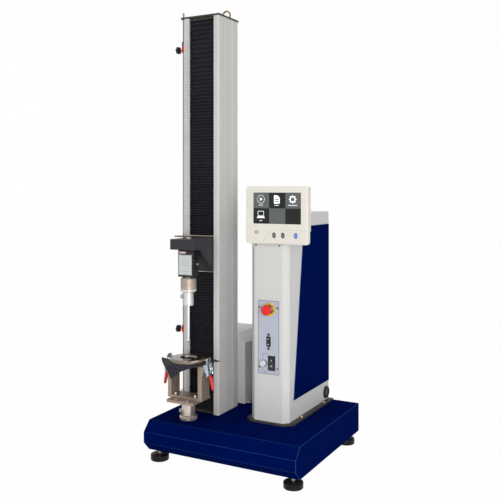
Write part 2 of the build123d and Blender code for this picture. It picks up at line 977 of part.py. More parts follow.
def make_probe_socket():
    low = deck + socket_low
    shoulder = deck + adapter_low
    outline = [
        (probe_radius + running_clearance, low + 1),
        (probe_radius + 1, low),
        (socket_radius - 1, low),
        (socket_radius, low + 1),
        (socket_radius, shoulder - 1),
        (socket_radius - 1, shoulder),
        (socket_spigot_radius, shoulder),
        (socket_spigot_radius, shoulder + socket_spigot_length),
        (0, shoulder + socket_spigot_length),
        (0, deck + probe_shank_top),
        (probe_radius + running_clearance, deck + probe_shank_top),
    ]
    socket = turned(outline, column_centre_x, test_y)
    reach = socket_radius + 1
    bore = pin_radius + running_clearance
    middle = column_centre_x
    return socket - across_x(middle - reach, middle + reach, test_y, deck + pin_height, bore)


def make_puncture_probe():
    tip = deck + probe_tip
    ball_z = tip + probe_ball_radius
    neck_top = ball_z + probe_ball_radius + 4
    rod = upright(column_centre_x, test_y, neck_top, deck + probe_shank_top, probe_radius)
    neck = upright(column_centre_x, test_y, ball_z, neck_top, probe_radius * 0.66)
    ball = Pos(column_centre_x, test_y, ball_z) * Sphere(probe_ball_radius)
    probe = rod + neck + ball
    bore = pin_radius + running_clearance
    middle = column_centre_x
    return probe - across_x(middle - 10, middle + 10, test_y, deck + pin_height, bore)


def make_cross_pin(level, face_radius, far_reach):
    """A pull-out pin along X with a fluted knob on its left end."""
    z = deck + level
    seat = column_centre_x - face_radius
    knob_right = seat - knob_pin_gap
    knob_left = knob_right - knob_pin_length
    pin = across_x(knob_left, column_centre_x + far_reach, test_y, z, pin_radius)
    pin += across_x(knob_right, seat, test_y, z, pin_radius * 1.6)
    rim = []
    for step in range(2 * knob_flutes):
        rim.append(polar(knob_pin_radius - (step % 2) * flute_depth, 180 * step / knob_flutes))
    plane = Plane(origin=(knob_left, test_y, z), x_dir=(0, 1, 0), z_dir=(1, 0, 0))
    knob = extrude(plane * make_face(Polyline(*rim, close=True)), knob_pin_length)
    return pin + knob


def make_base_spigot():
    """The peg screwed into the base, and the lock nut that holds it."""
    low = deck - base_sheet - frame_plate
    peg = upright(column_centre_x, test_y, deck, deck + peg_height, peg_radius)
    peg = chamfer(peg.edges().group_by(Axis.Z)[-1], 1.5)
    peg += upright(column_centre_x, test_y, low - peg_drop / 2, deck, bolt_radius * 2)
    peg += hexagon(column_centre_x, test_y, low - nut_height * 2, low, nut_across * 2)
    bore = pin_radius + running_clearance
    middle = column_centre_x
    peg -= across_x(middle - 20, middle + 20, test_y, deck + lower_pin_height, bore)
    flat = locknut_radius - 1.5
    outline = [
        (peg_radius + thread_clearance, deck),
        (flat, deck),
        (locknut_radius + 2, deck + 4),
        (locknut_radius + 2, deck + locknut_height - 4),
        (flat, deck + locknut_height),
        (peg_radius + thread_clearance, deck + locknut_height),
    ]
    nut = turned(outline, middle, test_y)
    return [peg, nut & hexagon(middle, test_y, deck, deck + locknut_height, locknut_radius * 2)]


def make_fixture_plate():
    """The socket that drops over the peg, its flange and the square plate."""
    low = deck + spigot_low
    neck_top = deck + spigot_high
    flange_top = deck + flange_high
    bore = peg_radius + running_clearance * 2
    outline = [
        (bore, low),
        (spigot_radius - 1, low),
        (spigot_radius, low + 1),
        (spigot_radius, neck_top),
        (flange_radius, neck_top),
        (flange_radius, flange_top),
        (0, flange_top),
        (0, deck + peg_height + 1),
        (bore, deck + peg_height + 1),
    ]
    socket = turned(outline, column_centre_x, test_y)
    middle = column_centre_x
    pin_bore = pin_radius + running_clearance
    reach = spigot_radius + 1
    socket -= across_x(middle - reach, middle + reach, test_y, deck + lower_pin_height, pin_bore)
    slot_low = low - 1
    socket -= block(
        (middle + peg_radius, middle + reach),
        (test_y - pin_bore, test_y + pin_bore),
        (slot_low, deck + lower_pin_height),
    )
    half = plate_width / 2
    x = (middle - half, middle + half)
    y = (test_y - plate_depth / 2, test_y + plate_depth / 2)
    plate = block(x, y, (flange_top, deck + plate_high))
    plate = chamfer(plate.edges().filter_by(Axis.Z), 2)
    for screw_x, screw_y_place in plate_screw_places():
        plate -= upright(screw_x, screw_y_place, deck + plate_high - 2.5, deck + plate_high + 1, 5.2)
    return socket + plate


def plate_screw_places():
    row = test_y - plate_depth / 2 + 12
    return [(column_centre_x + side * 22.75, row) for side in (-1, 1)]


def web_screw_places():
    return [(column_centre_x + sx * 39, test_y + sy * 19) for sx in (-1, 1) for sy in (-1, 1)]


def make_fixture_yoke():
    """The U-shaped yoke, and the fixed clamp ring that sits on it."""
    low = deck + plate_high
    seat = deck + ring_seat
    half = yoke_width / 2
    middle = column_centre_x
    y = (test_y - yoke_depth / 2, test_y + yoke_depth / 2)
    yoke = block((middle - half, middle + half), y, (low, seat))
    inner = half - yoke_side
    yoke -= block((middle - inner, middle + inner), (y[0] - 1, y[1] + 1), (low + yoke_web, seat + 1))
    yoke = chamfer(yoke.edges().filter_by(Axis.Z).group_by(Axis.X)[0], 1.5)
    yoke = chamfer(yoke.edges().filter_by(Axis.Z).group_by(Axis.X)[-1], 1.5)
    ring = upright(middle, test_y, seat, deck + specimen_low, clamp_ring_radius)
    ring -= upright(middle, test_y, seat - 1, deck + specimen_low + 1, clamp_hole_radius)
    ring = chamfer(ring.edges().group_by(Axis.Z)[0], 1)
    return [yoke, ring]


def make_upper_ring():
    """The loose clamp ring with a bevelled rim, a countersunk hole and two ear pins."""
    low = deck + upper_ring_low
    high = low + upper_ring_thick
    outline = [
        (clamp_hole_radius, low),
        (clamp_ring_radius - 1, low),
        (clamp_ring_radius, low + 1),
        (clamp_ring_radius, high - ring_bevel * 1.4),
        (clamp_ring_radius - 1.2, high - ring_bevel),
        (clamp_ring_radius - 6, high - 0.6),
        (clamp_ring_radius - 8, high),
        (clamp_hole_radius + 5, high),
        (clamp_hole_radius, high - 5),
    ]
    ring = turned(outline, column_centre_x, test_y)
    z = deck + ear_pin_z
    for side in (-1, 1):
        ends = (column_centre_x + side * (clamp_ring_radius - 6), column_centre_x + side * ear_pin_reach)
        pin = across_x(min(ends), max(ends), test_y, z, ear_pin_radius)
        ring += chamfer(pin.edges().filter_by(GeomType.CIRCLE), 0.8)
    return ring


def polar(radius, angle):
    return (radius * cos(radians(angle)), radius * sin(radians(angle)))


def make_specimen_sheet():
    """A clamped square sheet with hollow sides, notched for the hooks and folded at the front."""
    low = deck + specimen_low
    turn = specimen_turn
    corners = [polar(specimen_corner, turn + 90 * quarter) for quarter in range(4)]
    right = corners[0]
    rear = polar(specimen_side + 5, turn + 90)
    left = polar(specimen_corner - specimen_left_short, turn + 180)
    fold = specimen_side + 2
    fold_half = specimen_fold_half
    centre_angle = turn - 100
    fold_right = polar((fold * fold + fold_half * fold_half) ** 0.5, centre_angle + 17)
    fold_left = polar((fold * fold + fold_half * fold_half) ** 0.5, centre_angle - 17)
    notch = specimen_notch
    side = specimen_side
    flat = [
        right,
        polar(side + 2, turn + 45),
        rear,
        polar(side, turn + 135),
        (-side, notch),
        (-side, -notch + 6),
        left,
        polar(side - 3, turn + 222),
        fold_left,
        fold_right,
        polar(side - 1, turn - 57),
        (side, -notch),
        (side, notch),
    ]
    sheet = extrude(make_face(Polyline(*flat, close=True)), specimen_thick)
    sheet = Pos(column_centre_x, test_y, low) * sheet
    reach = specimen_corner - fold
    flap = make_face(Polyline((0, -fold_half * 0.9), (reach, 0), (0, fold_half * 0.9), close=True))
    flap = extrude(flap, -specimen_thick)
    hinge = polar(fold - 2, centre_angle)
    place = Pos(column_centre_x + hinge[0], test_y + hinge[1], low + specimen_thick)
    return sheet + place * Rot(0, 0, centre_angle) * Rot(0, specimen_droop_angle, 0) * flap


def clamp_side_x(side, offset):
    return column_centre_x + side * offset


def ordered(first, second):
    return (min(first, second), max(first, second))


def make_clamp_brackets():
    """One fixed bracket on each side of the yoke, with pivot stubs for the lever."""
    brackets = []
    pivot_z = deck + clamp_pivot_z
    ear_in = cheek_gap / 2 + cheek_thick + 0.5
    ear_out = ear_in + bracket_ear
    for side in (-1, 1):
        face = clamp_side_x(side, yoke_face)
        plate_x = ordered(face, face + side * bracket_thick)
        top = pivot_z + cheek_radius - 0.5
        bracket = block(plate_x, (test_y - ear_out, test_y + ear_out), (deck + bracket_low, top))
        pivot_x = clamp_side_x(side, clamp_x)
        for flank in (-1, 1):
            y = ordered(test_y + flank * ear_in, test_y + flank * ear_out)
            ear_x = ordered(face, pivot_x)
            ear = block(ear_x, y, (pivot_z - 9, top))
            ear += across_y(*y, pivot_x, pivot_z, cheek_radius - 0.5)
            stub_y = ordered(test_y + flank * (cheek_gap / 2 + 0.1), test_y + flank * (ear_out + 1))
            bracket += ear + across_y(*stub_y, pivot_x, pivot_z, rivet_radius)
        brackets.append(bracket)
    return brackets


def make_clamp_lever(side):
    """Two cheeks, the folded web between them and a dipped grip, along a leaning line."""
    pivot_x = clamp_side_x(side, clamp_x)
    pivot_z = deck + clamp_pivot_z
    trunnion_z = pivot_z - clamp_throw
    lean = Pos(pivot_x, test_y, trunnion_z) * Rot(0, -side * lever_lean, 0)
    bar_x = side * lever_bar_shift
    foot = lean * Pos(bar_x, 0, -lever_web_start - lever_web_length / 2)
    bore = rivet_radius + running_clearance
    half = cheek_gap / 2 + cheek_thick
    web_low = -lever_web_start - lever_web_length
    web = block((-lever_bar_thick / 2, lever_bar_thick / 2), (-half, half), (web_low, -lever_web_start))
    lever = lean * Pos(bar_x, 0, 0) * web
    for flank in (-1, 1):
        y = ordered(test_y + flank * cheek_gap / 2, test_y + flank * half)
        rounds = [
            Pos(pivot_x, pivot_z) * Circle(cheek_radius),
            Pos(pivot_x, trunnion_z) * Circle(cheek_radius),
            Pos(foot.position.X, foot.position.Z) * Circle(lever_web_length / 2),
        ]
        outline = make_hull([round_end.edge() for round_end in rounds])
        plane = Plane(origin=(0, y[1], 0), x_dir=(1, 0, 0), z_dir=(0, -1, 0))
        cheek = extrude(plane * outline, y[1] - y[0])
        cheek -= across_y(y[0] - 1, y[1] + 1, pivot_x, pivot_z, bore)
        cheek -= across_y(y[0] - 1, y[1] + 1, pivot_x, trunnion_z, bore)
        lever += cheek
    grip_high = (grip_top - clamp_pivot_z + clamp_throw) / cos(radians(lever_lean))
    bar_low = grip_high - grip_length * 0.7
    half_bar = lever_bar_width / 2
    bar = block((-lever_bar_thick / 2, lever_bar_thick / 2), (-half_bar, half_bar), (bar_low, web_low + 1))
    bar = chamfer(bar.edges().filter_by(Axis.X).group_by(Axis.Z)[0], half_bar * 0.6)
    lever += lean * Pos(bar_x, 0, 0) * bar
    taper = grip_length - grip_tip_radius
    grip = Pos(0, 0, grip_high - taper / 2) * Cone(grip_tip_radius, grip_radius, taper)
    tip = Cone(grip_tip_radius * 0.55, grip_tip_radius, grip_tip_radius)
    grip += Pos(0, 0, grip_high - taper - grip_tip_radius / 2) * tip
    grip = lean * Pos(bar_x, 0, 0) * grip
    return [lever, grip - lever]


def make_clamp_hook(side):
    """The wire stirrup over the ear pin, and the trunnion it is adjusted in."""
    x = clamp_side_x(side, clamp_x)
    trunnion_z = deck + clamp_pivot_z - clamp_throw
    bar_z = deck + ear_pin_z + ear_pin_radius + hook_wire + sliding_gap
    low = trunnion_z - hook_tail
    half = hook_leg_spread / 2
    hook = across_y(test_y - half, test_y + half, x, bar_z, hook_wire)
    for flank in (-1, 1):
        y = test_y + flank * half
        hook += upright(x, y, low, bar_z, hook_wire)
        hook += Pos(x, y, bar_z) * Sphere(hook_wire)
        hook += upright(x, y, trunnion_z + 3, trunnion_z + 7, hook_nut_radius)
    inner = cheek_gap / 2 - sliding_gap
    hook += across_y(test_y - inner, test_y + inner, x, trunnion_z, 4.2)
    journal = cheek_gap / 2 + cheek_thick
    return hook + across_y(test_y - journal, test_y + journal, x, trunnion_z, rivet_radius)


def make_limit_rod():
    low = deck - rod_drop
    rod = upright(rod_x, rod_y, low, deck + rod_top, rod_radius)
    return chamfer(rod.edges().filter_by(GeomType.CIRCLE), 0.6)


def make_collar(low, bumper):
    """A red stop collar on the rod, with its dark bumper where it has one."""
    bottom = deck + low
    top = bottom + collar_length
    bore = rod_radius + running_clearance
    collar = upright(rod_x, rod_y, bottom, top, collar_radius)
    collar = chamfer(collar.edges().filter_by(GeomType.CIRCLE), 0.6)
    collar -= upright(rod_x, rod_y, bottom - 1, top + 1, bore)
    middle = (bottom + top) / 2 - collar_length * 0.1
    stud_bore = star_stud_radius + running_clearance
    collar -= across_x(rod_x - collar_radius - 1, rod_x, rod_y, middle, stud_bore)
    if not bumper:
        return [collar]
    sleeve = upright(rod_x, rod_y, top, top + bumper_length, collar_radius)
    sleeve = chamfer(sleeve.edges().group_by(Axis.Z)[-1], 1.5)
    return [collar, sleeve - upright(rod_x, rod_y, top - 1, top + bumper_length + 1, bore)]


def make_star_knob(low):
    """A brass clamping screw and its black lobed knob."""
    z = deck + low + collar_length * 0.4
    hub_right = rod_x - star_gap
    tip = rod_x - rod_radius - sliding_gap
    hub_left = hub_right - star_thick
    stud = across_x(hub_left + 2, tip, rod_y, z, star_stud_radius)
    knob = across_x(hub_left, hub_right, rod_y, z, star_radius - 2)
    for lobe in range(star_lobes):
        angle = 2 * pi * lobe / star_lobes
        lobe_y = rod_y + (star_radius - 4) * cos(angle)
        lobe_z = z + (star_radius - 4) * sin(angle)
        knob += across_x(hub_left, hub_right, lobe_y, lobe_z, 4)
    knob += across_x(hub_right, hub_right + 4, rod_y, z, star_hub_radius)
    knob -= across_x(hub_left + 2, hub_right + 5, rod_y, z, star_stud_radius + 0.02)
    return [stud, knob]


def make_scale_ruler():
    left = column_left_x + (column_width - column_opening) / 4 - scale_width / 2
    y = (column_front_y - scale_thick, column_front_y)
    return block((left, left + scale_width), y, (deck + scale_low, deck + scale_top))


def console_block(inset, low, high):
    """The chamfered console body between two levels, drawn in from its faces."""
    half = console_width / 2 - inset
    front = console_front_y + inset
    rear = console_rear_y - inset
    cut = console_chamfer - inset * 0.6
    outline = [
        (console_centre_x - half, front + cut),
        (console_centre_x - half + cut, front),
        (console_centre_x + half - cut, front),
        (console_centre_x + half, front + cut),
        (console_centre_x + half, rear),
        (console_centre_x - half, rear),
    ]
    return Pos(0, 0, low) * extrude(make_face(Polyline(*outline, close=True)), high - low)


def panel_window():
    """The cut behind the control panel that the switches reach through."""
    x = (panel_left_x + window_margin, panel_right_x - window_margin)
    z = (deck + panel_low + window_margin, deck + panel_high - window_margin)
    return block(x, (console_front_y - 1, console_front_y + console_wall + 1), z)


def make_console_housing():
    """The wrapped front and sides, the rear panel, the cap, and the plate for the display."""
    low = deck + console_flange_height
    top = deck + console_height
    cap_low = top - console_cap_height
    cap = console_block(0, cap_low, top)
    rear_edge = cap.edges().filter_by(Axis.X).group_by(Axis.Z)[-1].sort_by(Axis.Y)[-1]
    cap = fillet(rear_edge, console_top_round)
    half = console_width / 2 - console_wall
    inner_x = (console_centre_x - half, console_centre_x + half)
    rear = console_rear_y - console_wall
    wrap = console_block(0, low, cap_low) - console_block(console_wall, low - 1, cap_low + 1)
    wrap -= block(inner_x, (rear - 1, console_rear_y + 1), (low - 1, cap_low + 1))
    wrap -= panel_window()
    rear_panel = block(inner_x, (rear, console_rear_y), (low, cap_low))
    x = (bracket_left_x, bracket_right_x)
    z = (deck + bracket_plate_low, deck + bracket_plate_high)
    return [wrap, rear_panel, cap, block(x, (bracket_face_y, console_front_y), z)]


def make_console_flange():
    half = console_width / 2 + side_panel_thick + console_flange_side
    front = console_front_y - console_flange_front
    rear = console_rear_y + console_flange_rear
    x = (console_centre_x - half, console_centre_x + half)
    flange = block(x, (front, rear), (deck, deck + console_flange_height))
    front_edges = flange.edges().filter_by(Axis.Z).group_by(Axis.Y)[0]
    flange = chamfer(front_edges, console_flange_chamfer)
    inner = console_width / 2 - lead_opening_side
    opening_front = console_front_y + lead_opening_front
    opening = block(
        (console_centre_x - inner, console_centre_x + inner),
        (opening_front, opening_front + lead_opening_depth),
        (deck - 1, deck + console_flange_height + 1),
    )
    return flange - opening


def make_side_panels():
    panels = []
    top = deck + console_height - side_panel_top_gap
    outline = [
        (console_front_y + side_panel_front_low, deck + side_panel_low),
        (console_rear_y, deck + side_panel_low),
        (console_rear_y, top),
        (console_front_y + side_panel_front_high, top),
    ]
    for side in (-1, 1):
        face = console_centre_x + side * console_width / 2
        x = ordered(face, face + side * side_panel_thick)
        panels.append(side_profile(outline, *x))
    return panels


def make_side_connector():
    face = console_centre_x + console_width / 2
    y = console_rear_y - connector_rear
    z = deck + connector_height
    body = across_x(face, face + connector_reach, y, z, connector_radius)
    body = chamfer(body.edges().filter_by(GeomType.CIRCLE).group_by(Axis.X)[-1], 2)
    mouth = across_x(face + 2, face + connector_reach + 1, y, z, connector_radius - 5)
    key = across_x(face + 1, face + connector_reach - 2, y, z, connector_radius - 9)
    return body - mouth + key


def make_control_electronics():
    """The drive unit in the console, and the switch that the limit rod works."""
    low = deck + console_flange_height
    left = console_centre_x - drive_width / 2
    rear = console_rear_y - drive_rear_gap
    front = rear - drive_depth
    unit = block((left, left + drive_width), (front, rear), (low, low + drive_height))
    fins = int(drive_depth / fin_pitch) - 1
    for fin in range(fins):
        fin_y = front + (fin + 0.625) * fin_pitch
        fin_levels = (low + fin_start, low + drive_height + 1)
        unit -= block((left - 1, left + fin_depth), (fin_y, fin_y + fin_slot), fin_levels)
    switch_top = deck - base_sheet - frame_plate
    half = switch_width / 2
    levels = (switch_top - switch_height, switch_top)
    switch = block((rod_x - half, rod_x + half), (rod_y - half, rod_y + half), levels)
    switch -= upright(rod_x, rod_y, levels[0] - 1, levels[1] + 1, rod_radius + sliding_gap)
    return [unit, switch]


def make_control_panel():
    x = (panel_left_x, panel_right_x)
    z = (deck + panel_low, deck + panel_high)
    panel = block(x, (panel_face_y, console_front_y), z)
    panel = fillet(panel.edges().filter_by(Axis.Y), panel_corner)
    through = (panel_face_y - 1, console_front_y + 1)
    panel -= across_y(*through, estop_x, deck + estop_height, estop_collar_radius - 1)
    panel -= across_y(*through, knob_x, deck + knob_height, knob_shaft_radius + running_clearance)
    for place in rocker_places():
        centre_x, centre_z, width, length = place
        half_w = width / 2 - frame_rim / 2
        half_l = length / 2 - frame_rim / 2
        hole_x = (centre_x - half_w, centre_x + half_w)
        panel -= block(hole_x, through, (centre_z - half_l, centre_z + half_l))
    return panel


def rocker_places():
    return [
        (rocker_x, deck + rocker_height, rocker_width, rocker_length),
        (power_x, deck + power_height, power_width, power_length),
    ]


def make_switch_bases():
    """The emergency-stop ring and collar, and the frames of both rockers."""
    z = deck + estop_height
    ring_front = panel_face_y - estop_ring_thick
    collar_front = ring_front - estop_collar_length
    ring = across_y(ring_front, panel_face_y, estop_x, z, estop_ring_radius)
    ring = chamfer(ring.edges().filter_by(GeomType.CIRCLE).group_by(Axis.Y)[0], 0.6)
    body_end = console_front_y + estop_body_length
    collar = across_y(collar_front, body_end, estop_x, z, estop_collar_radius - 1.2)
    collar += across_y(collar_front, ring_front, estop_x, z, estop_collar_radius)
    stem_bore = estop_stem_radius + running_clearance
    ring -= across_y(ring_front - 1, panel_face_y + 1, estop_x, z, estop_collar_radius - 1)
    collar -= across_y(collar_front - 1, body_end - 8, estop_x, z, stem_bore)
    bases = [ring, collar]
    for centre_x, centre_z, width, length in rocker_places():
        half_w = width / 2
        half_l = length / 2
        flange = block(
            (centre_x - half_w, centre_x + half_w),
            (panel_face_y - frame_proud, panel_face_y),
            (centre_z - half_l, centre_z + half_l),
        )
        flange = chamfer(flange.faces().sort_by(Axis.Y)[0].edges(), 0.8)
        inner_w = half_w - frame_rim
        inner_l = half_l - frame_rim
        skirt_w = half_w - frame_rim / 2 - 0.1
        skirt_l = half_l - frame_rim / 2 - 0.1
        flange += block(
            (centre_x - skirt_w, centre_x + skirt_w),
            (panel_face_y, console_front_y + 16),
            (centre_z - skirt_l, centre_z + skirt_l),
        )
        flange -= block(
            (centre_x - inner_w, centre_x + inner_w),
            (panel_face_y - frame_proud - 1, console_front_y + 13),
            (centre_z - inner_l, centre_z + inner_l),
        )
        bases.append(flange)
    return bases


def make_rocker(centre_x, centre_z, width, length):
    """A rocker key: a shallow V face over a round back, centred in its frame."""
    face_y = panel_face_y - frame_proud
    half_w = width / 2 - frame_rim - 0.4
    half_l = length / 2 - frame_rim - 1.4
    back_y = face_y + rocker_depth
    outline = [
        (face_y - 0.4, centre_z),
        (face_y - rocker_crown, centre_z + half_l),
        (face_y + 1.5, centre_z + half_l),
        (back_y, centre_z + half_l * 0.35),
        (back_y, centre_z - half_l * 0.35),
        (face_y + 1.5, centre_z - half_l),
        (face_y - rocker_crown, centre_z - half_l),
    ]
    return side_profile(outline, centre_x - half_w, centre_x + half_w)


def make_estop_head():
    z = deck + estop_height
    collar_front = panel_face_y - estop_ring_thick - estop_collar_length
    front = collar_front - estop_travel - 1 - estop_head_length
    length = console_front_y + 5 - front
    radius = estop_head_radius
    outline = [
        (0, 0),
        (radius - estop_dome, 0),
        (radius - estop_dome * 0.45, estop_dome * 0.17),
        (radius - estop_dome * 0.14, estop_dome * 0.5),
        (radius, estop_dome),
        (radius, estop_head_length),
        (radius - estop_skirt, estop_head_length),
        (radius - estop_skirt, estop_head_length + 1),
        (estop_stem_radius, estop_head_length + 1),
        (estop_stem_radius, length),
        (0, length),
    ]
    return turned_to_rear(outline, estop_x, front, z)


def make_speed_knob():
    z = deck + knob_height
    front = panel_face_y - knob_length
    knob = across_y(front, panel_face_y - 0.4, knob_x, z, knob_radius)
    knob = chamfer(knob.edges().filter_by(GeomType.CIRCLE).group_by(Axis.Y)[0], 1.5)
    knob += across_y(front, console_front_y + 10, knob_x, z, knob_shaft_radius)
    return knob - block((knob_x - 0.6, knob_x + 0.6), (front - 1, front + 0.8), (z, z + knob_radius))


def rounded_slab(front_y, rear_y, low, high, inset, corner):
    """A plate with rounded corners, square to the front."""
    width = display_right_x - display_left_x - 2 * inset
    height = high - low - 2 * inset
    face = RectangleRounded(width, height, corner)
    middle_x = (display_left_x + display_right_x) / 2
    plane = Plane(origin=(middle_x, rear_y, (low + high) / 2), x_dir=(1, 0, 0), z_dir=(0, -1, 0))
    return extrude(plane * face, rear_y - front_y)


def make_display_front():
    """The moulded front shell: a rounded bezel with its window, key wells and raised ledge."""
    low = deck + display_low
    high = deck + display_high
    rear = display_front_y + display_front_depth
    shell = rounded_slab(display_front_y, rear, low, high, 0, display_corner)
    shell = fillet(shell.faces().sort_by(Axis.Y)[0].edges(), 3.5)
    inner = rounded_slab(display_front_y + display_wall, rear + 1, low, high, display_wall, 6)
    shell -= inner
    window_x = (screen_left_x, screen_right_x)
    window_z = (deck + screen_low, deck + screen_high)
    shell -= block(window_x, (display_front_y - 1, display_front_y + display_wall + 1), window_z)
    left = display_left_x + ledge_left
    right = display_right_x - ledge_margin
    ledge_low = low + ledge_rise
    ledge_top = ledge_low + ledge_height
    ledge = [(left, ledge_low), (left + ledge_slope, ledge_top), (right, ledge_top), (right, ledge_low)]
    shell += front_profile(ledge, display_front_y - ledge_proud, display_front_y)
    for x in button_xs:
        shell -= button_shape(x, display_front_y - 1, display_front_y + display_wall + 1, button_gap)
    return shell


def button_shape(x, front_y, rear_y, grow):
    face = Ellipse(button_half_width + grow, button_half_height + grow)
    plane = Plane(origin=(x, rear_y, deck + button_height), x_dir=(1, 0, 0), z_dir=(0, -1, 0))
    return extrude(plane * face, rear_y - front_y)


def make_display_button(x):
    front = display_front_y - button_proud
    body = button_shape(x, front, front + button_length, 0)
    return chamfer(body.faces().sort_by(Axis.Y)[0].edges(), 0.6)


def make_display_screen():
    """The panel behind the window, wider than the window so that it is held."""
    front = display_front_y + screen_recess
    back = front + screen_thick
    window = block(
        (screen_left_x + 0.2, screen_right_x - 0.2),
        (front, back),
        (deck + screen_low + 0.2, deck + screen_high - 0.2),
    )
    body = block(
        (screen_left_x - screen_lap, screen_right_x + screen_lap),
        (display_front_y + display_wall, display_front_y + display_front_depth),
        (deck + screen_low - screen_lap, deck + screen_high + screen_lap),
    )
    return window + body


def make_display_back():
    """The rear shell, thick above and stepped in at its lower edge."""
    front = display_front_y + display_front_depth
    low = deck + display_low
    high = deck + display_high
    lip = rounded_slab(front, front + display_lip_depth, low, high, 0, display_corner)
    step = low + display_lip_height
    rear = front + display_back_depth
    shell = lip + rounded_slab(front, rear, step, high, 0, display_corner)
    shell = chamfer(shell.faces().sort_by(Axis.Y)[-1].edges(), 2.5)
    hollow = rounded_slab(front - 1, rear - display_wall, step, high, display_wall, 6)
    buttons = (button_xs[0] - key_board_side, button_xs[-1] + key_board_side)
    key_board = block(
        buttons,
        (display_front_y + button_length, front),
        (deck + button_height - key_board_half, deck + button_height + key_board_half),
    )
    return (shell - hollow) + key_board


def screw_head_y(x, z, face_y):
    return across_y(face_y - screw_head_height, face_y, x, z, screw_head_radius)


def screw_head_z(x, y, face_z, radius=screw_head_radius, height=screw_head_height):
    return upright(x, y, face_z, face_z + height, radius)


def make_fixing_screws():
    """All visible screw heads, each a solid of its own."""
    screws = []
    for x in (panel_left_x + 6.5, panel_right_x - 6.5):
        for z in (panel_low + 22, panel_high - 23):
            screws.append(screw_head_y(x, deck + z, panel_face_y))
    for x in (bracket_left_x + 11, bracket_right_x - 11):
        screws.append(screw_head_y(x, deck + bracket_plate_low + 5, bracket_face_y))
    flange_x = console_width / 2 + side_panel_thick + console_flange_side * 0.55
    for side in (-1, 1):
        for y in (console_front_y + flange_screw_front, console_rear_y - flange_screw_rear):
            place = (console_centre_x + side * flange_x, y, deck + console_flange_height)
            screws.append(screw_head_z(*place, flange_screw_radius, flange_screw_height))
    for x, y in tab_screw_places():
        screws.append(screw_head_z(x, y, deck + tab_thick))
    for x, y in plate_screw_places():
        screws.append(screw_head_z(x, y, deck + plate_high - 2.5, 4.8, 3.5))
    for x, y in web_screw_places():
        screws.append(screw_head_z(x, y, deck + plate_high + yoke_web, 5, 6))
    strip_front = bellows_front_y - strip_thick
    for side in (-1, 1):
        x = column_centre_x + side * column_opening * 0.32
        screws.append(screw_head_y(x, column_top - strip_height / 2, strip_front))
        screws.append(screw_head_y(x, deck + strip_height / 2, strip_front))
    return screws


os.makedirs("parts", exist_ok=True)
write("base_cover", make_base_cover())
write("base_frame", make_base_frame())
write("levelling_feet", *make_levelling_feet())
write("column_profile", make_column_profile())
write("column_rear_cover", make_column_rear_cover())
write("top_plate", make_top_plate())
write("eye_bolt", make_eye_bolt())
write("guide_rails", *make_guide_rails())
write("screw_bearings", *make_screw_bearings())
write("ball_screw", *make_ball_screw())
write("motor_pulley", *make_motor_pulley())
write("timing_belt", make_timing_belt())
write("drive_motor", make_drive_motor())
write("motor_cover", make_motor_cover())
write("upper_bellows", make_upper_bellows())
write("lower_bellows", make_lower_bellows())
write("bellows_strips", *make_bellows_strips())
write("crosshead_bracket", make_crosshead())
write("carriage", *make_carriage())
write("striker_arm", make_striker_arm())
write("load_cell", *make_load_cell())
write("probe_adapter", make_probe_adapter())
write("probe_socket", make_probe_socket())
write("puncture_probe", make_puncture_probe())
write("socket_pin", make_cross_pin(pin_height, socket_radius, socket_radius - 2))
write("base_spigot", *make_base_spigot())
write("fixture_plate", make_fixture_plate())
write("spigot_pin", make_cross_pin(lower_pin_height, spigot_radius, spigot_radius - 1))
write("fixture_yoke", *make_fixture_yoke())
write("specimen_sheet", make_specimen_sheet())
write("upper_ring", make_upper_ring())
write("clamp_brackets", *make_clamp_brackets())
for clamp_name, clamp_side in (("left", -1), ("right", 1)):
    write(f"{clamp_name}_clamp_lever", *make_clamp_lever(clamp_side))
    write(f"{clamp_name}_clamp_hook", make_clamp_hook(clamp_side))
write("limit_rod", make_limit_rod())
write("upper_collar", *make_collar(upper_collar_low, True))
write("lower_collar", *make_collar(lower_collar_low, False))
write("upper_star_knob", *make_star_knob(upper_collar_low))
write("lower_star_knob", *make_star_knob(lower_collar_low))
write("scale_ruler", make_scale_ruler())
write("console_housing", *make_console_housing())
write("console_flange", make_console_flange())
write("side_panels", *make_side_panels())
write("side_connector", make_side_connector())
write("control_electronics", *make_control_electronics())
write("control_panel", make_control_panel())
write("switch_bases", *make_switch_bases())
write("estop_head", make_estop_head())
for key_name, key_place in zip(("updown_rocker", "power_rocker"), rocker_places()):
    write(key_name, make_rocker(*key_place))
write("speed_knob", make_speed_knob())
write("display_front", make_display_front())
write("display_screen", make_display_screen())
write("display_back", make_display_back())
for button_name, button_x in zip(("menu_button", "back_button", "start_button"), button_xs):
    write(button_name, make_display_button(button_x))
write("fixing_screws", *make_fixing_screws())
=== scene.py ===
"""Looks of a single-column bench tester, laid out as an add-on.

The fixed parts get their finishes, and the pleats, sheet, screws, threads, prints and
screen are surfaces worked out from a few sizes. Points are in millimetres until a mesh
is made, and the frame is the machine's own: X right, Y to the rear, Z up.
"""

from typing import NamedTuple

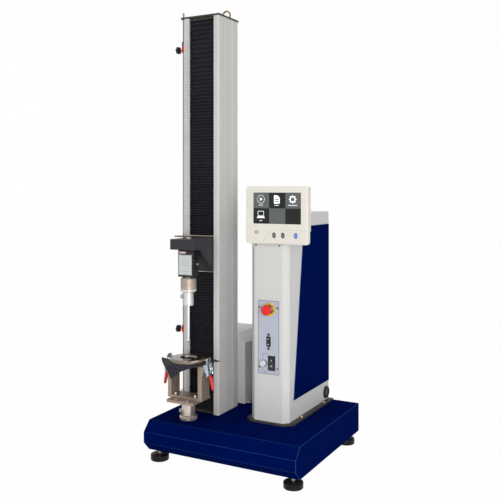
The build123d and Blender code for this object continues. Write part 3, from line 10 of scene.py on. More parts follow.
import bmesh
import bpy
import numpy as np
from bpy.props import FloatProperty, FloatVectorProperty, IntProperty, PointerProperty
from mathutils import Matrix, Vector


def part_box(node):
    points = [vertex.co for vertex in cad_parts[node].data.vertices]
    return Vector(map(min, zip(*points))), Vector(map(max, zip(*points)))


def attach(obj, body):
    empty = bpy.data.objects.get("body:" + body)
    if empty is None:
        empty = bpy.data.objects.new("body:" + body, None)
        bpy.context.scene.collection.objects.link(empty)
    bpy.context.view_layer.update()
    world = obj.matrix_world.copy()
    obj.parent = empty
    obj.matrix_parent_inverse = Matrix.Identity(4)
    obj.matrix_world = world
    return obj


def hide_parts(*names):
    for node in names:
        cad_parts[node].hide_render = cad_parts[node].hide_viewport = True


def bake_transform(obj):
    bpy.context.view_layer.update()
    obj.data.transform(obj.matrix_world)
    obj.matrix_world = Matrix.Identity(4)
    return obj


bl_info = {
    "name": "Bench tester looks",
    "version": (1, 0, 0),
    "blender": (4, 5, 0),
    "location": "View3D > Sidebar > Tester",
    "description": "Dresses a single-column bench tester and sets its stage",
    "category": "Object",
}

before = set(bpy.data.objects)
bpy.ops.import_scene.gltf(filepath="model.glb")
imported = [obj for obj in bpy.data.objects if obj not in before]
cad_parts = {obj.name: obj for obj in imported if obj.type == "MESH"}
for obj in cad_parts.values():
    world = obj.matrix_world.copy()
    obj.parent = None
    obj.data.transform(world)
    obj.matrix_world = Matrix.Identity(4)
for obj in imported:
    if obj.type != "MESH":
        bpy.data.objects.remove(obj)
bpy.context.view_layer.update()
MM = 0.001
TURN = 2 * np.pi
EVEN = (1, 1, 1)


def box_mm(node):
    """Return the lowest and highest corner of a fixed part, in millimetres."""
    low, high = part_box(node)
    return np.array(low) / MM, np.array(high) / MM


def middle_mm(node):
    """Return the middle of a fixed part's box, in millimetres."""
    low, high = box_mm(node)
    return (low + high) / 2


def tone(red, green, blue):
    """Turn a colour as it is seen, 0 to 255, into the linear values that a shader takes."""
    seen = np.array((red, green, blue)) / 255
    return tuple(np.where(seen < 0.04045, seen / 12.92, ((seen + 0.055) / 1.055) ** 2.4))


COLUMN_LOW, COLUMN_HIGH = box_mm("column_profile")
AXIS_X = middle_mm("column_profile")[0]
DECK = COLUMN_LOW[2]
TEST_Y = middle_mm("probe_socket")[1]
PANEL_LOW, PANEL_HIGH = box_mm("control_panel")
SCREEN_FACE = box_mm("display_screen")[0][1]
RULER_LOW, RULER_HIGH = box_mm("scale_ruler")


def length_mm(label, value, note):
    """Return a size property in millimetres."""
    return FloatProperty(name=label, description=note, default=value, min=0.0, soft_max=2000.0)


def paint(label, seen, note):
    """Return a colour property from a colour as it is seen."""
    return FloatVectorProperty(
        name=label, description=note, subtype="COLOR", size=3, min=0.0, max=1.0, default=tone(*seen)
    )


class TesterSizes(bpy.types.PropertyGroup):
    """Sizes of the worked-out pieces, in millimetres."""

    pleat_depth: length_mm("Pleat depth", 5.0, "How far each pleat folds in")
    pleat_skin: length_mm("Pleat skin", 1.0, "Thickness of the pleated fabric")
    pleat_rows: IntProperty(name="Pleat rows", description="Rows in one pleat", default=8, min=4)
    sheet_side: length_mm("Sheet side", 160.0, "Side of the square blank that the specimen was cut from")
    sheet_skin: length_mm("Sheet thickness", 1.1, "Thickness of the specimen sheet")
    stud_pitch: length_mm("Stud pitch", 1.75, "Thread pitch of the levelling studs")
    hook_pitch: length_mm("Hook pitch", 0.9, "Thread pitch of the clamp hooks")
    print_height: length_mm("Print height", 0.12, "How far printed marks stand proud")
    tick_width: length_mm("Tick width", 0.2, "Width of a line on the ruler")
    number_height: length_mm("Number height", 4.6, "Height of the ruler's numbers")


class TesterColours(bpy.types.PropertyGroup):
    """Colours of the larger finishes, as linear values."""

    navy: paint("Navy", (0, 16, 76), "Base and side panels")
    console: paint("Console grey", (205, 205, 203), "Console paint")
    alloy: paint("Alloy", (208, 207, 204), "Column extrusions")
    cover: paint("Motor cover", (222, 220, 216), "Motor cover paint")
    charcoal: paint("Charcoal", (58, 57, 61), "Crosshead paint")
    cloth: paint("Bellows", (33, 32, 37), "Bellows fabric")
    nickel: paint("Nickel", (166, 152, 140), "Adapter")
    fixture: paint("Fixture", (152, 136, 122), "Yoke and plate")
    zinc: paint("Zinc", (186, 198, 206), "Toggle clamps")
    signal_red: paint("Signal red", (200, 22, 22), "Clamp grips")
    signal_yellow: paint("Signal yellow", (232, 190, 12), "Emergency stop ring")
    ivory: paint("Ivory", (222, 218, 208), "Display shells")
    sheet: paint("Sheet", (26, 24, 35), "Specimen sheet")
    panel: paint("Panel", (180, 185, 199), "Control panel plate")


class Look(NamedTuple):
    """What a finish looks like. Colours are as they are seen, and lengths in millimetres."""

    colour: object  # the name of a scene colour, or three values from 0 to 255
    roughness: float
    metallic: float = 0.0
    specular: float = 0.5
    edge: float = 0.0  # radius over which the light runs at sharp edges
    shade: tuple = ()  # noise scale, share of the colour, stretch
    polish: tuple = ()  # noise scale, lowest and highest roughness, stretch
    grain: tuple = ()  # noise scale, height, stretch
    weave: tuple = ()  # rows of direction, ridges in a metre, height
    blend: tuple = ()  # noise scale, and the two colours between which it goes
    glow: tuple = ()  # colour and strength of the light that it gives
    gain: float = 1.0  # factor on the linear colour
    sockets: tuple = ()  # further constants of the shader


# Stretches that draw a noise out into lathe lines round an upright axis.
LATHE_SHADE = (0.3, 0.3, 3)
LATHE_POLISH = (0.2, 0.2, 6)
LATHE_GRAIN = (0.05, 0.05, 12)

LOOKS = {
    # Dark blue powder coat with a fine orange peel.
    "navy_powder": Look(
        "navy", 0.55, 0.0, 0.5, 2.2, (7.0, 0.1), (160.0, 0.5, 0.65), (420.0, 0.05), sockets=(("IOR", 1.02),)
    ),
    # Satin anodised extrusion with drawing lines along its length.
    "column_alloy": Look(
        "alloy", 0.42, 0.1, 0.3, 0.6, (), (300.0, 0.36, 0.5, (1, 1, 0.02)), (900.0, 0.03, (1, 1, 0.01))
    ),
    # Pale grey enamel of the motor cover, a little warm.
    "cover_enamel": Look("cover", 0.5, 0.0, 0.3, 1.0, (5.0, 0.03), (90.0, 0.45, 0.6), (650.0, 0.05)),
    # Light grey fine-texture powder coat of the console, and on its bends the same paint made paler and
    # glossier: a painted highlight.
    "console_powder": Look("console", 0.48, 0.0, 0.3, 1.4, (4.0, 0.02), (120.0, 0.42, 0.56), (800.0, 0.05)),
    "console_bend": Look(
        "console", 0.32, 0.0, 0.5, 0.0, (4.0, 0.02), (120.0, 0.26, 0.38), (800.0, 0.03), gain=1.3
    ),
    # Black satin finish of the crosshead casting.
    "charcoal_satin": Look(
        "charcoal", 0.46, 0.0, 0.08, 1.2, (18.0, 0.1), (140.0, 0.38, 0.54), (520.0, 0.05)
    ),
    # Anodised black aluminium with milling lines.
    "black_anodised": Look(
        (26, 25, 28), 0.42, 0.0, 0.3, 0.6, (60.0, 0.15, (1, 1, 0.2)), (200.0, 0.3, 0.46),
        (900.0, 0.03, (1, 1, 0.05)),
    ),
    # Black painted steel of the cap and the console's flange.
    "black_plate": Look((60, 58, 57), 0.55, 0.0, 0.2, 1.0, (25.0, 0.18), (90.0, 0.42, 0.6), (500.0, 0.06)),
    # Coated bellows fabric: a fine weave under a dull film.
    "bellows_cloth": Look(
        "cloth", 0.66, 0.0, 0.1, 0.0, (40.0, 0.16, (0.3, 1, 1)), (60.0, 0.5, 0.7),
        weave=(("X", 900.0, 0.05), ("Z", 900.0, 0.05)),
    ),
    # Nickel with lathe lines: the adapter, the socket, the lock ring, and the socket in the deck.
    "turned_nickel": Look(
        "nickel", 0.44, 0.4, 0.5, 0.5, (30.0, 0.06, LATHE_SHADE), (60.0, 0.38, 0.5, LATHE_POLISH),
        (90.0, 0.04, LATHE_GRAIN),
    ),
    "pale_nickel": Look(
        (208, 207, 204), 0.32, 0.45, 0.5, 0.5, (30.0, 0.03), (60.0, 0.26, 0.4, LATHE_POLISH),
        (90.0, 0.03, LATHE_GRAIN),
    ),
    "lock_ring_nickel": Look(
        (214, 205, 196), 0.38, 0.4, 0.5, 0.5, (30.0, 0.04), (60.0, 0.32, 0.44, LATHE_POLISH),
        (90.0, 0.02, LATHE_GRAIN),
    ),
    "spigot_nickel": Look(
        (198, 187, 177), 0.28, 0.8, 0.5, 0.6, (26.0, 0.06, LATHE_SHADE), (60.0, 0.24, 0.34, LATHE_POLISH),
        (90.0, 0.008, LATHE_GRAIN),
    ),
    # Ground and plated steel of the yoke and the plate.
    "fixture_nickel": Look(
        "fixture", 0.4, 0.45, 0.5, 0.7, (22.0, 0.1, (1, 1, 0.4)), (50.0, 0.26, 0.44, (1, 0.4, 0.4)),
        (420.0, 0.03, (0.15, 0.15, 1)),
    ),
    # Ground faces of the upper clamp ring, which mirror what stands behind them.
    "ring_steel": Look((130, 118, 108), 0.24, 0.9, 0.5, 0.6, (30.0, 0.08), (70.0, 0.15, 0.28)),
    # Passivated zinc, blue in places, and the chromated zinc of the levelling studs.
    "bright_zinc": Look(
        "zinc", 0.24, 0.95, 0.5, 0.4, (), (120.0, 0.16, 0.36), (600.0, 0.03),
        blend=(70.0, (150, 178, 196), (214, 216, 214)),
    ),
    "yellow_zinc": Look(
        (190, 170, 110), 0.32, 0.9, 0.5, 0.4, (), (150.0, 0.22, 0.44),
        blend=(110.0, (196, 168, 96), (186, 186, 176)),
    ),
    # Polished rod and ball of the probe.
    "polished_steel": Look(
        (216, 216, 218), 0.14, 1.0, 0.5, 0.3, (30.0, 0.05, (1, 1, 0.1)), (90.0, 0.1, 0.24, (1, 1, 0.1)),
        (240.0, 0.01, (0.1, 0.1, 5)),
    ),
    # Chromed knob with a fine diamond knurl.
    "knurled_chrome": Look(
        (178, 182, 192), 0.2, 1.0, 0.5, 0.3, (60.0, 0.12), (90.0, 0.14, 0.3),
        weave=(("DIAGONAL", 1100.0, 0.12), ("X", 1100.0, 0.08)),
    ),
    # Cold-drawn rod, grey with long draw lines.
    "rod_steel": Look(
        (122, 120, 120), 0.32, 0.85, 0.5, 0.3, (70.0, 0.12, (1, 1, 0.03)), (90.0, 0.26, 0.4, (1, 1, 0.05)),
        (500.0, 0.02, (1, 1, 0.02)),
    ),
    # Oiled dark steel of the striker.
    "striker_steel": Look((98, 88, 80), 0.36, 0.8, 0.5, 0.5, (40.0, 0.2), (80.0, 0.28, 0.5), (500.0, 0.03)),
    # Forged lifting eye, bronze in tint.
    "eye_steel": Look((140, 118, 92), 0.34, 0.9, 0.5, 0.0, (50.0, 0.2), (70.0, 0.26, 0.46), (380.0, 0.08)),
    # Brass screws and their heads.
    "brass": Look((206, 158, 60), 0.26, 1.0, 0.5, 0.2, (80.0, 0.12), (90.0, 0.18, 0.34), (700.0, 0.02)),
    # Browned steel of the small screws on the console's front.
    "dark_screw": Look((98, 90, 84), 0.32, 0.8, 0.5, 0.15, (90.0, 0.2), (120.0, 0.24, 0.42), (700.0, 0.02)),
    # Thin raw strips that end the bellows, faintly gold.
    "strip_alloy": Look(
        (196, 184, 158), 0.34, 0.85, 0.5, 0.3, (60.0, 0.14, (0.1, 1, 1)), (80.0, 0.28, 0.44),
        (600.0, 0.03, (0.05, 1, 1)),
    ),
    # Red anodised stop collars.
    "red_anodised": Look(
        (186, 22, 26), 0.26, 0.6, 0.5, 0.5, (40.0, 0.12), (90.0, 0.2, 0.36), (300.0, 0.02, (0.1, 0.1, 4))
    ),
    # Dipped red vinyl of the clamp grips.
    "red_grip": Look(
        "signal_red", 0.3, 0.0, 0.5, 1.5, (60.0, 0.08), (60.0, 0.22, 0.4), (160.0, 0.15),
        sockets=(("Coat Weight", 0.25),),
    ),
    # Moulded red head of the emergency stop, and the yellow ring behind it.
    "red_mushroom": Look((222, 38, 34), 0.4, 0.0, 0.3, 0.0, (30.0, 0.05), (80.0, 0.28, 0.42), (900.0, 0.02)),
    "yellow_plate": Look(
        "signal_yellow", 0.42, 0.0, 0.4, 0.3, (40.0, 0.05), (90.0, 0.36, 0.5), (700.0, 0.02)
    ),
    # Black thermoplastic of knobs, rocker frames and the connector, and the glossy rocker keys.
    "black_moulding": Look(
        (30, 29, 30), 0.46, 0.0, 0.2, 0.6, (60.0, 0.2), (120.0, 0.34, 0.52), (900.0, 0.06)
    ),
    "gloss_black": Look((30, 30, 31), 0.22, 0.0, 0.5, 0.4, (60.0, 0.15), (120.0, 0.16, 0.3), (500.0, 0.01)),
    # Dull grey rubber with a bloom, and the moulded black rubber of the levelling pads.
    "bumper_rubber": Look(
        (104, 104, 106), 0.72, 0.0, 0.3, 0.8, (50.0, 0.25), (60.0, 0.6, 0.85), (420.0, 0.1)
    ),
    "pad_rubber": Look((18, 17, 19), 0.34, 0.0, 0.16, 1.0, (45.0, 0.25), (50.0, 0.3, 0.46), (360.0, 0.12)),
    # Pale turned knob of the speed control.
    "white_knob": Look(
        (208, 208, 213), 0.26, 0.75, 0.5, 0.4, (60.0, 0.03), (120.0, 0.24, 0.4), (120.0, 0.02, (0.3, 8, 0.3))
    ),
    # Ivory moulded shells of the display, with a spark texture, and the darker line round their ledge, which
    # is painted shade.
    "ivory_moulding": Look("ivory", 0.5, 0.0, 0.35, 0.6, (6.0, 0.015), (160.0, 0.44, 0.58), (1100.0, 0.04)),
    "ledge_shadow": Look((196, 190, 180), 0.5, 0.0, 0.2, 0.0, (300.0, 0.05), (), (900.0, 0.02)),
    # Dark glass round the picture, and the patches of the picture, lit from behind.
    "screen_glass": Look((24, 25, 30), 0.16, 0.0, 0.4, 0.0, (20.0, 0.1), (30.0, 0.12, 0.22), (200.0, 0.004)),
    **{
        name: Look(
            seen, 0.35, 0.0, 0.2, shade=(300.0, 0.03), weave=(("X", 3000.0, 0.003),), glow=(seen, strength),
            gain=0.7,
        )
        for name, seen, strength in (
            ("tile_mid", (84, 88, 88), 0.55),
            ("tile_dark", (24, 26, 26), 0.55),
            ("sign_white", (236, 238, 240), 0.8),
        )
    },
    # Dark brown soft keys, and the translucent blue key with its lamp on.
    "key_moulding": Look((86, 74, 68), 0.36, 0.0, 0.4, 0.0, (90.0, 0.15), (120.0, 0.3, 0.44), (700.0, 0.03)),
    "lit_key": Look(
        (58, 104, 196), 0.3, 0.0, 0.4, grain=(300.0, 0.02), blend=(150.0, (36, 66, 150), (92, 138, 216)),
        glow=((50, 96, 206), 0.16),
    ),
    # Blue-grey screen-printed panel.
    "panel_film": Look("panel", 0.42, 0.0, 0.3, 0.0, (9.0, 0.025), (200.0, 0.36, 0.5), (1000.0, 0.02)),
    # Printed lines and marks.
    "dark_ink": Look((44, 45, 52), 0.5, 0.0, 0.3, 0.0, (300.0, 0.2), (), (1500.0, 0.01)),
    "white_ink": Look((226, 228, 232), 0.5, 0.0, 0.3, 0.0, (300.0, 0.04), (), (1500.0, 0.01)),
    "pale_red_ink": Look((226, 84, 78), 0.5, 0.0, 0.3, 0.0, (300.0, 0.05), (), (1500.0, 0.01)),
    # Steel washer round the emergency stop.
    "washer_steel": Look((112, 108, 104), 0.34, 0.8, 0.5, 0.0, (60.0, 0.1), (), (400.0, 0.01)),
    # Blank plate and small plain strip on the load cell.
    "label_film": Look(
        (200, 203, 203), 0.42, 0.1, 0.5, 0.0, (50.0, 0.04, (1, 1, 0.2)), (100.0, 0.32, 0.46), (900.0, 0.02)
    ),
    "strip_film": Look((222, 190, 196), 0.45, 0.0, 0.3, 0.0, (200.0, 0.05), (), (900.0, 0.01)),
    # Matt grey strip of the ruler.
    "ruler_steel": Look(
        (194, 194, 195), 0.46, 0.2, 0.5, 0.0, (90.0, 0.05, (1, 1, 0.05)), (120.0, 0.36, 0.5),
        (900.0, 0.01, (1, 1, 0.05)),
    ),
    # Dark blue-black coated fabric with a soft grain.
    "vinyl_sheet": Look(
        "sheet", 0.6, 0.0, 0.3, 0.0, (60.0, 0.1), (90.0, 0.52, 0.7), (380.0, 0.06),
        weave=(("X", 1300.0, 0.03),),
    ),
    # Bare steel of the drive inside, and its black motor, belt and casings.
    "works_steel": Look(
        (168, 168, 170), 0.34, 0.9, 0.5, 0.4, (30.0, 0.12), (60.0, 0.26, 0.44), (400.0, 0.03)
    ),
    "works_black": Look((44, 44, 46), 0.5, 0.0, 0.4, 0.8, (30.0, 0.2), (80.0, 0.4, 0.62), (300.0, 0.08)),
}


class Finish:
    """One procedural material: a row of LOOKS and the texture chains that feed its shader."""

    bevel_samples = 4
    noise_detail = 3.0
    noise_spread = (0.3, 0.7)

    def __init__(self, name, colours):
        look = LOOKS[name]
        self.material = bpy.data.materials.new(name)
        self.material.use_nodes = True
        self.tree = self.material.node_tree
        self.shader = self.tree.nodes["Principled BSDF"]
        self.normal = None
        plain = getattr(colours, look.colour) if isinstance(look.colour, str) else tone(*look.colour)
        self.colour = tuple(min(1.0, c * look.gain) for c in plain)
        self.set("Base Color", (*self.colour, 1.0))
        self.set("Roughness", look.roughness)
        self.set("Metallic", look.metallic)
        self.set("Specular IOR Level", look.specular)
        for socket, value in look.sockets:
            self.set(socket, value)
        if look.glow:
            self.set("Emission Color", (*tone(*look.glow[0]), 1.0))
            self.set("Emission Strength", look.glow[1])
        self.add_textures(look)

    def add_textures(self, look):
        """Add the chains that the row asks for."""
        if look.edge:
            self.take_normal(self.bevel(look.edge))
        if look.blend:
            scale, first, second = look.blend
            self.blend_colours(self.noise(scale), tone(*first), tone(*second))
        if look.shade:
            self.shade(*look.shade)
        if look.polish:
            scale, low, high, *stretch = look.polish
            dull = self.span(self.noise(scale, *stretch), 0, 1, low, high)
            self.link(dull, self.shader.inputs["Roughness"])
        for direction, per_metre, height in look.weave:
            self.bump(self.wave(per_metre, direction), height)
        if look.grain:
            scale, height, *stretch = look.grain
            self.bump(self.noise(scale, *stretch), height)

    def set(self, socket, value):
        """Set a constant on the shader's own socket."""
        self.shader.inputs[socket].default_value = value

    def add(self, kind, **settings):
        """Add a node with its settings."""
        node = self.tree.nodes.new("ShaderNode" + kind)
        for key, value in settings.items():
            setattr(node, key, value)
        return node

    def link(self, output, target):
        """Join two sockets."""
        self.tree.links.new(output, target)

    def place(self, stretch=EVEN, centre=(0, 0, 0)):
        """Return object coordinates in metres, shifted to a centre and stretched."""
        where = self.add("TexCoord")
        shift = self.add("Mapping")
        shift.inputs["Location"].default_value = [-c * MM * s for c, s in zip(centre, stretch)]
        shift.inputs["Scale"].default_value = stretch
        self.link(where.outputs["Object"], shift.inputs["Vector"])
        return shift.outputs["Vector"]

    def noise(self, scale, stretch=EVEN):
        """Return a noise value with its grain along the short stretch."""
        node = self.add("TexNoise")
        node.inputs["Scale"].default_value = scale
        node.inputs["Detail"].default_value = self.noise_detail
        self.link(self.place(stretch), node.inputs["Vector"])
        return node.outputs["Fac"]

    def wave(self, per_metre, direction="Z", kind="BANDS", centre=(0, 0, 0)):
        """Return a wave with so many ridges in a metre, as straight bands or rings."""
        node = self.add("TexWave", wave_type=kind, wave_profile="SIN")
        setattr(node, f"{kind.lower()}_direction", direction)
        ridges_per_scale = 20
        node.inputs["Scale"].default_value = per_metre / ridges_per_scale * TURN
        self.link(self.place(centre=centre), node.inputs["Vector"])
        return node.outputs["Fac"]

    def span(self, value, low, high, to_low, to_high):
        """Stretch a value from one range over another, held inside it."""
        node = self.add("MapRange", clamp=True)
        for socket, limit in zip(("From Min", "From Max", "To Min", "To Max"), (low, high, to_low, to_high)):
            node.inputs[socket].default_value = limit
        self.link(value, node.inputs["Value"])
        return node.outputs["Result"]

    def stripes(self, axis, low, high, marks, half):
        """Return a value that rises to each mark's own height on a thin line along an axis.

        The marks are (place from the low end in millimetres, height from 0 to 1).
        """
        split = self.add("SeparateXYZ")
        self.link(self.place(), split.inputs["Vector"])
        ramp = self.add("ValToRGB")
        stops = ramp.color_ramp.elements
        stops[0].color = (0.0, 0.0, 0.0, 1.0)
        stops[1].color = (0.0, 0.0, 0.0, 1.0)
        for place, height in marks:
            for shift, share in ((-half, 0.0), (0.0, height), (half, 0.0)):
                stop = stops.new(min(max((place + shift) / (high - low), 0.0), 1.0))
                stop.color = (share, share, share, 1.0)
        self.link(self.span(split.outputs[axis], low * MM, high * MM, 0, 1), ramp.inputs["Fac"])
        return ramp.outputs["Color"]

    def mix_colours(self, share):
        """Feed the base colour from a mix by a share, and return the mix."""
        mix = self.add("Mix", data_type="RGBA")
        self.link(share, mix.inputs["Factor"])
        self.link(mix.outputs["Result"], self.shader.inputs["Base Color"])
        return mix

    def blend_colours(self, value, first, second):
        """Colour the surface between two colours by a value."""
        mix = self.mix_colours(value)
        mix.inputs["A"].default_value = (*first, 1.0)
        mix.inputs["B"].default_value = (*second, 1.0)

    def shade(self, scale, spread, stretch=EVEN):
        """Vary the colour by a share of itself."""
        dark = [c * (1 - spread) for c in self.colour]
        light = [min(1.0, c * (1 + spread)) for c in self.colour]
        self.blend_colours(self.span(self.noise(scale, stretch), *self.noise_spread, 0, 1), dark, light)

    def bump(self, value, height):
        """Raise the surface by a value, with the height in millimetres."""
        node = self.add("Bump")
        node.inputs["Distance"].default_value = height * MM
        self.link(value, node.inputs["Height"])
        if self.normal is not None:
            self.link(self.normal, node.inputs["Normal"])
        self.take_normal(node)

    def bevel(self, radius):
        """Return a node that rounds the normals within a radius in millimetres."""
        node = self.add("Bevel", samples=self.bevel_samples)
        node.inputs["Radius"].default_value = radius * MM
        return node

    def take_normal(self, node):
        """Light the surface by the normals of a node."""
        self.normal = node.outputs["Normal"]
        self.link(self.normal, self.shader.inputs["Normal"])

    def pale_edges(self, radius, gain, colour):
        """Painted highlight: blend to another colour along edges, by gain * (1 - n . m), m the rounded
        normal.
        """
        inside = self.shader.inputs["Base Color"].links[0].from_socket
        dot = self.add("VectorMath", operation="DOT_PRODUCT")
        self.link(self.bevel(radius).outputs["Normal"], dot.inputs[0])
        self.link(self.add("NewGeometry").outputs["True Normal"], dot.inputs[1])
        turn = self.add("Math", operation="SUBTRACT", use_clamp=True)
        turn.inputs[0].default_value = 1.0
        self.link(dot.outputs["Value"], turn.inputs[1])
        share = self.add("Math", operation="MULTIPLY", use_clamp=True)
        share.inputs[1].default_value = gain
        self.link(turn.outputs["Value"], share.inputs[0])
        mix = self.mix_colours(share.outputs["Value"])
        mix.inputs["B"].default_value = (*colour, 1.0)
        self.link(inside, mix.inputs["A"])


def navy_edges(finish):
    """Painted highlights: paler lines along the edges of the folded base and the side panels."""
    radius, gain = 3.0, 3.4
    finish.pale_edges(radius, gain, tone(64, 106, 168))


def alloy_ribs(finish):
    """Painted highlights: paler lines along the ribs of the extrusion and at its corners, on a face made
    darker between them.
    """
    rib_run = 135.0
    rib_highlights = (
        (4.0, 0.9), (24.0, 0.2), (46.0, 0.3), (68.0, 0.15), (92.5, 1.0), (112.0, 0.15), (129.0, 0.4),
    )
    corner_highlights = ((6.0, 0.5), (29.0, 0.3), (121.0, 0.3), (139.0, 1.0))
    rib_half, corner_half = 3.6, 2.2
    # dull darkens the face between the painted highlights, and bright sets how pale they are.
    dull, bright = 0.87, 1.3
    lines = finish.add("Math", operation="MAXIMUM")
    ribs = finish.stripes("Y", COLUMN_LOW[1], COLUMN_LOW[1] + rib_run, rib_highlights, rib_half)
    corners = finish.stripes("X", COLUMN_LOW[0], COLUMN_HIGH[0], corner_highlights, corner_half)
    finish.link(ribs, lines.inputs[0])
    finish.link(corners, lines.inputs[1])
    plain = [c * dull for c in finish.colour]
    finish.blend_colours(lines.outputs["Value"], plain, [min(1.0, c * bright) for c in finish.colour])


def ring_lines(finish):
    """Turned rings about the test axis."""
    per_metre, height = 700.0, 0.004
    finish.bump(finish.wave(per_metre, kind="RINGS", centre=(AXIS_X, TEST_Y, 0)), height)


EXTRAS = {"navy_powder": navy_edges, "column_alloy": alloy_ribs, "ring_steel": ring_lines}


def coat(name, colours):
    """Make the material of a finish, with its own extra step where it has one."""
    finish = Finish(name, colours)
    if name in EXTRAS:
        EXTRAS[name](finish)
    return finish.material


def add_rays(tree):
    """Return 1 for camera, glossy and transmission rays."""
    rays = tree.nodes.new("ShaderNodeLightPath")
    total = rays.outputs["Is Camera Ray"]
    for kind in ("Is Glossy Ray", "Is Transmission Ray"):
        both = tree.nodes.new("ShaderNodeMath")
        both.operation = "MAXIMUM"
        tree.links.new(total, both.inputs[0])
        tree.links.new(rays.outputs[kind], both.inputs[1])
        total = both.outputs["Value"]
    return total


def mix_shaders(tree, share, first, second, target):
    """Feed a target from two shaders, of which the second takes a share."""
    mix = tree.nodes.new("ShaderNodeMixShader")
    tree.links.new(share, mix.inputs["Fac"])
    tree.links.new(first, mix.inputs[1])
    tree.links.new(second, mix.inputs[2])
    tree.links.new(mix.outputs["Shader"], target.inputs["Surface"])


def white_light(tree, kind, strength):
    """Return the output of an even white light."""
    node = tree.nodes.new("ShaderNode" + kind)
    node.inputs["Color"].default_value = (1.0, 1.0, 1.0, 1.0)
    node.inputs["Strength"].default_value = strength
    return node.outputs[kind]


def floor_white(name):
    """White floor that the camera and mirrors see as white, and that keeps a soft shadow."""
    grey, roughness, white_share = 0.86, 0.9, 0.985
    material = bpy.data.materials.new(name)
    material.use_nodes = True
    tree = material.node_tree
    shader = tree.nodes["Principled BSDF"]
    shader.inputs["Base Color"].default_value = (grey, grey, grey, 1.0)
    shader.inputs["Roughness"].default_value = roughness
    shader.inputs["Specular IOR Level"].default_value = 0.0
    share = tree.nodes.new("ShaderNodeMath")
    share.operation = "MULTIPLY"
    share.inputs[1].default_value = white_share
    tree.links.new(add_rays(tree), share.inputs[0])
    glow = white_light(tree, "Emission", 1.0)
    mix_shaders(tree, share.outputs["Value"], shader.outputs["BSDF"], glow, tree.nodes["Material Output"])
    return material


def grid_faces(rows, columns, seam=False, loop=False):
    """Quads between neighbouring points of a grid, with its seam closed across or along."""
    row = np.arange(rows if loop else rows - 1)[:, None]
    column = np.arange(columns if seam else columns - 1)[None, :]
    below = (row + 1) % rows
    right = (column + 1) % columns
    corners = (
        row * columns + column,
        row * columns + right,
        below * columns + right,
        below * columns + column,
    )
    return np.stack(np.broadcast_arrays(*corners), -1).reshape(-1, 4).tolist()


def join_shapes(shapes):
    """Join (points, faces) pairs into one pair."""
    points = []
    faces = []
    count = 0
    for shape_points, shape_faces in shapes:
        flat = np.asarray(shape_points, float).reshape(-1, 3)
        points.append(flat)
        faces += [[index + count for index in face] for face in shape_faces]
        count += len(flat)
    return np.concatenate(points), faces


def add_piece(name, shape, body, finish, smooth=False):
    """Make a mesh from points in millimetres, weld it, point it outwards and let it ride."""
    weld, sliver = 1e-7, 1e-8
    points, faces = shape
    mesh = bpy.data.meshes.new(name)
    flat = np.asarray(points, float).reshape(-1, 3) * MM
    mesh.from_pydata(flat.tolist(), [], faces)
    work = bmesh.new()
    work.from_mesh(mesh)
    bmesh.ops.remove_doubles(work, verts=work.verts, dist=weld)
    bmesh.ops.dissolve_degenerate(work, edges=work.edges, dist=sliver)
    bmesh.ops.recalc_face_normals(work, faces=work.faces)
    for face in work.faces:
        face.smooth = smooth
    work.to_mesh(mesh)
    work.free()
    piece = bpy.data.objects.new(name, mesh)
    bpy.context.scene.collection.objects.link(piece)
    mesh.materials.append(finish)
    if body:
        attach(piece, body)
    return piece


def put(shape, origin, up):
    """Place a shape of (across, up, out) points: out is the cross product of across and up."""
    across = (1, 0, 0)
    basis = np.array([across, up, np.cross(across, up)], float)
    return np.asarray(origin, float) + np.asarray(shape[0], float).reshape(-1, 3) @ basis, shape[1]


def upright(shape, origin):
    """Place a shape whose out axis points up."""
    return put(shape, origin, (0, 1, 0))


def facing(shape, origin):
    """Place a shape whose out axis points to the front."""
    return put(shape, origin, (0, 0, 1))


def add_print(name, shapes, face, body, finish):
    """Make one piece of shapes on a plane that faces the front."""
    placed = [facing(shape, (0, face, 0)) for shape in shapes]
    add_piece(name, join_shapes(placed), body, finish)


def slab(outline, low, high):
    """A closed plate over an outline of (across, up) points, between two heights."""
    flat = np.asarray(outline, float)
    count = len(flat)
    rows = [np.column_stack([flat, np.full(count, level)]) for level in (low, high)]
    faces = grid_faces(2, count, seam=True)
    faces.append(list(range(count)))
    faces.append(list(range(count, 2 * count)))
    return np.concatenate(rows), faces


def ring_slab(outer, inner, low, high):
    """A closed frame between two outlines with as many points."""
    rows = []
    for outline, level in ((outer, low), (outer, high), (inner, high), (inner, low)):
        flat = np.asarray(outline, float)
        rows.append(np.column_stack([flat, np.full(len(flat), level)]))
    return np.concatenate(rows), grid_faces(4, len(outer), seam=True, loop=True)


def circle(radius, centre=(0, 0), count=40):
    """Points of a circle."""
    angle = np.arange(count) * TURN / count
    return np.column_stack([centre[0] + radius * np.cos(angle), centre[1] + radius * np.sin(angle)])


def ray(degrees):
    """Unit vectors at one or more angles, one in a row."""
    turn = np.radians(degrees)
    return np.stack([np.cos(turn), np.sin(turn)], -1)


def rounded_box(width, height, radius, centre=(0, 0), per_corner=6):
    """Outline of a rectangle with round corners."""
    angle = np.linspace(0, np.pi / 2, per_corner)
    points = []
    for quarter, (side_x, side_y) in enumerate(((1, 1), (-1, 1), (-1, -1), (1, -1))):
        turn = angle + quarter * np.pi / 2
        middle = np.array([side_x * (width / 2 - radius), side_y * (height / 2 - radius)])
        points.append(middle + radius * np.column_stack([np.cos(turn), np.sin(turn)]))
    return np.concatenate(points) + np.asarray(centre)


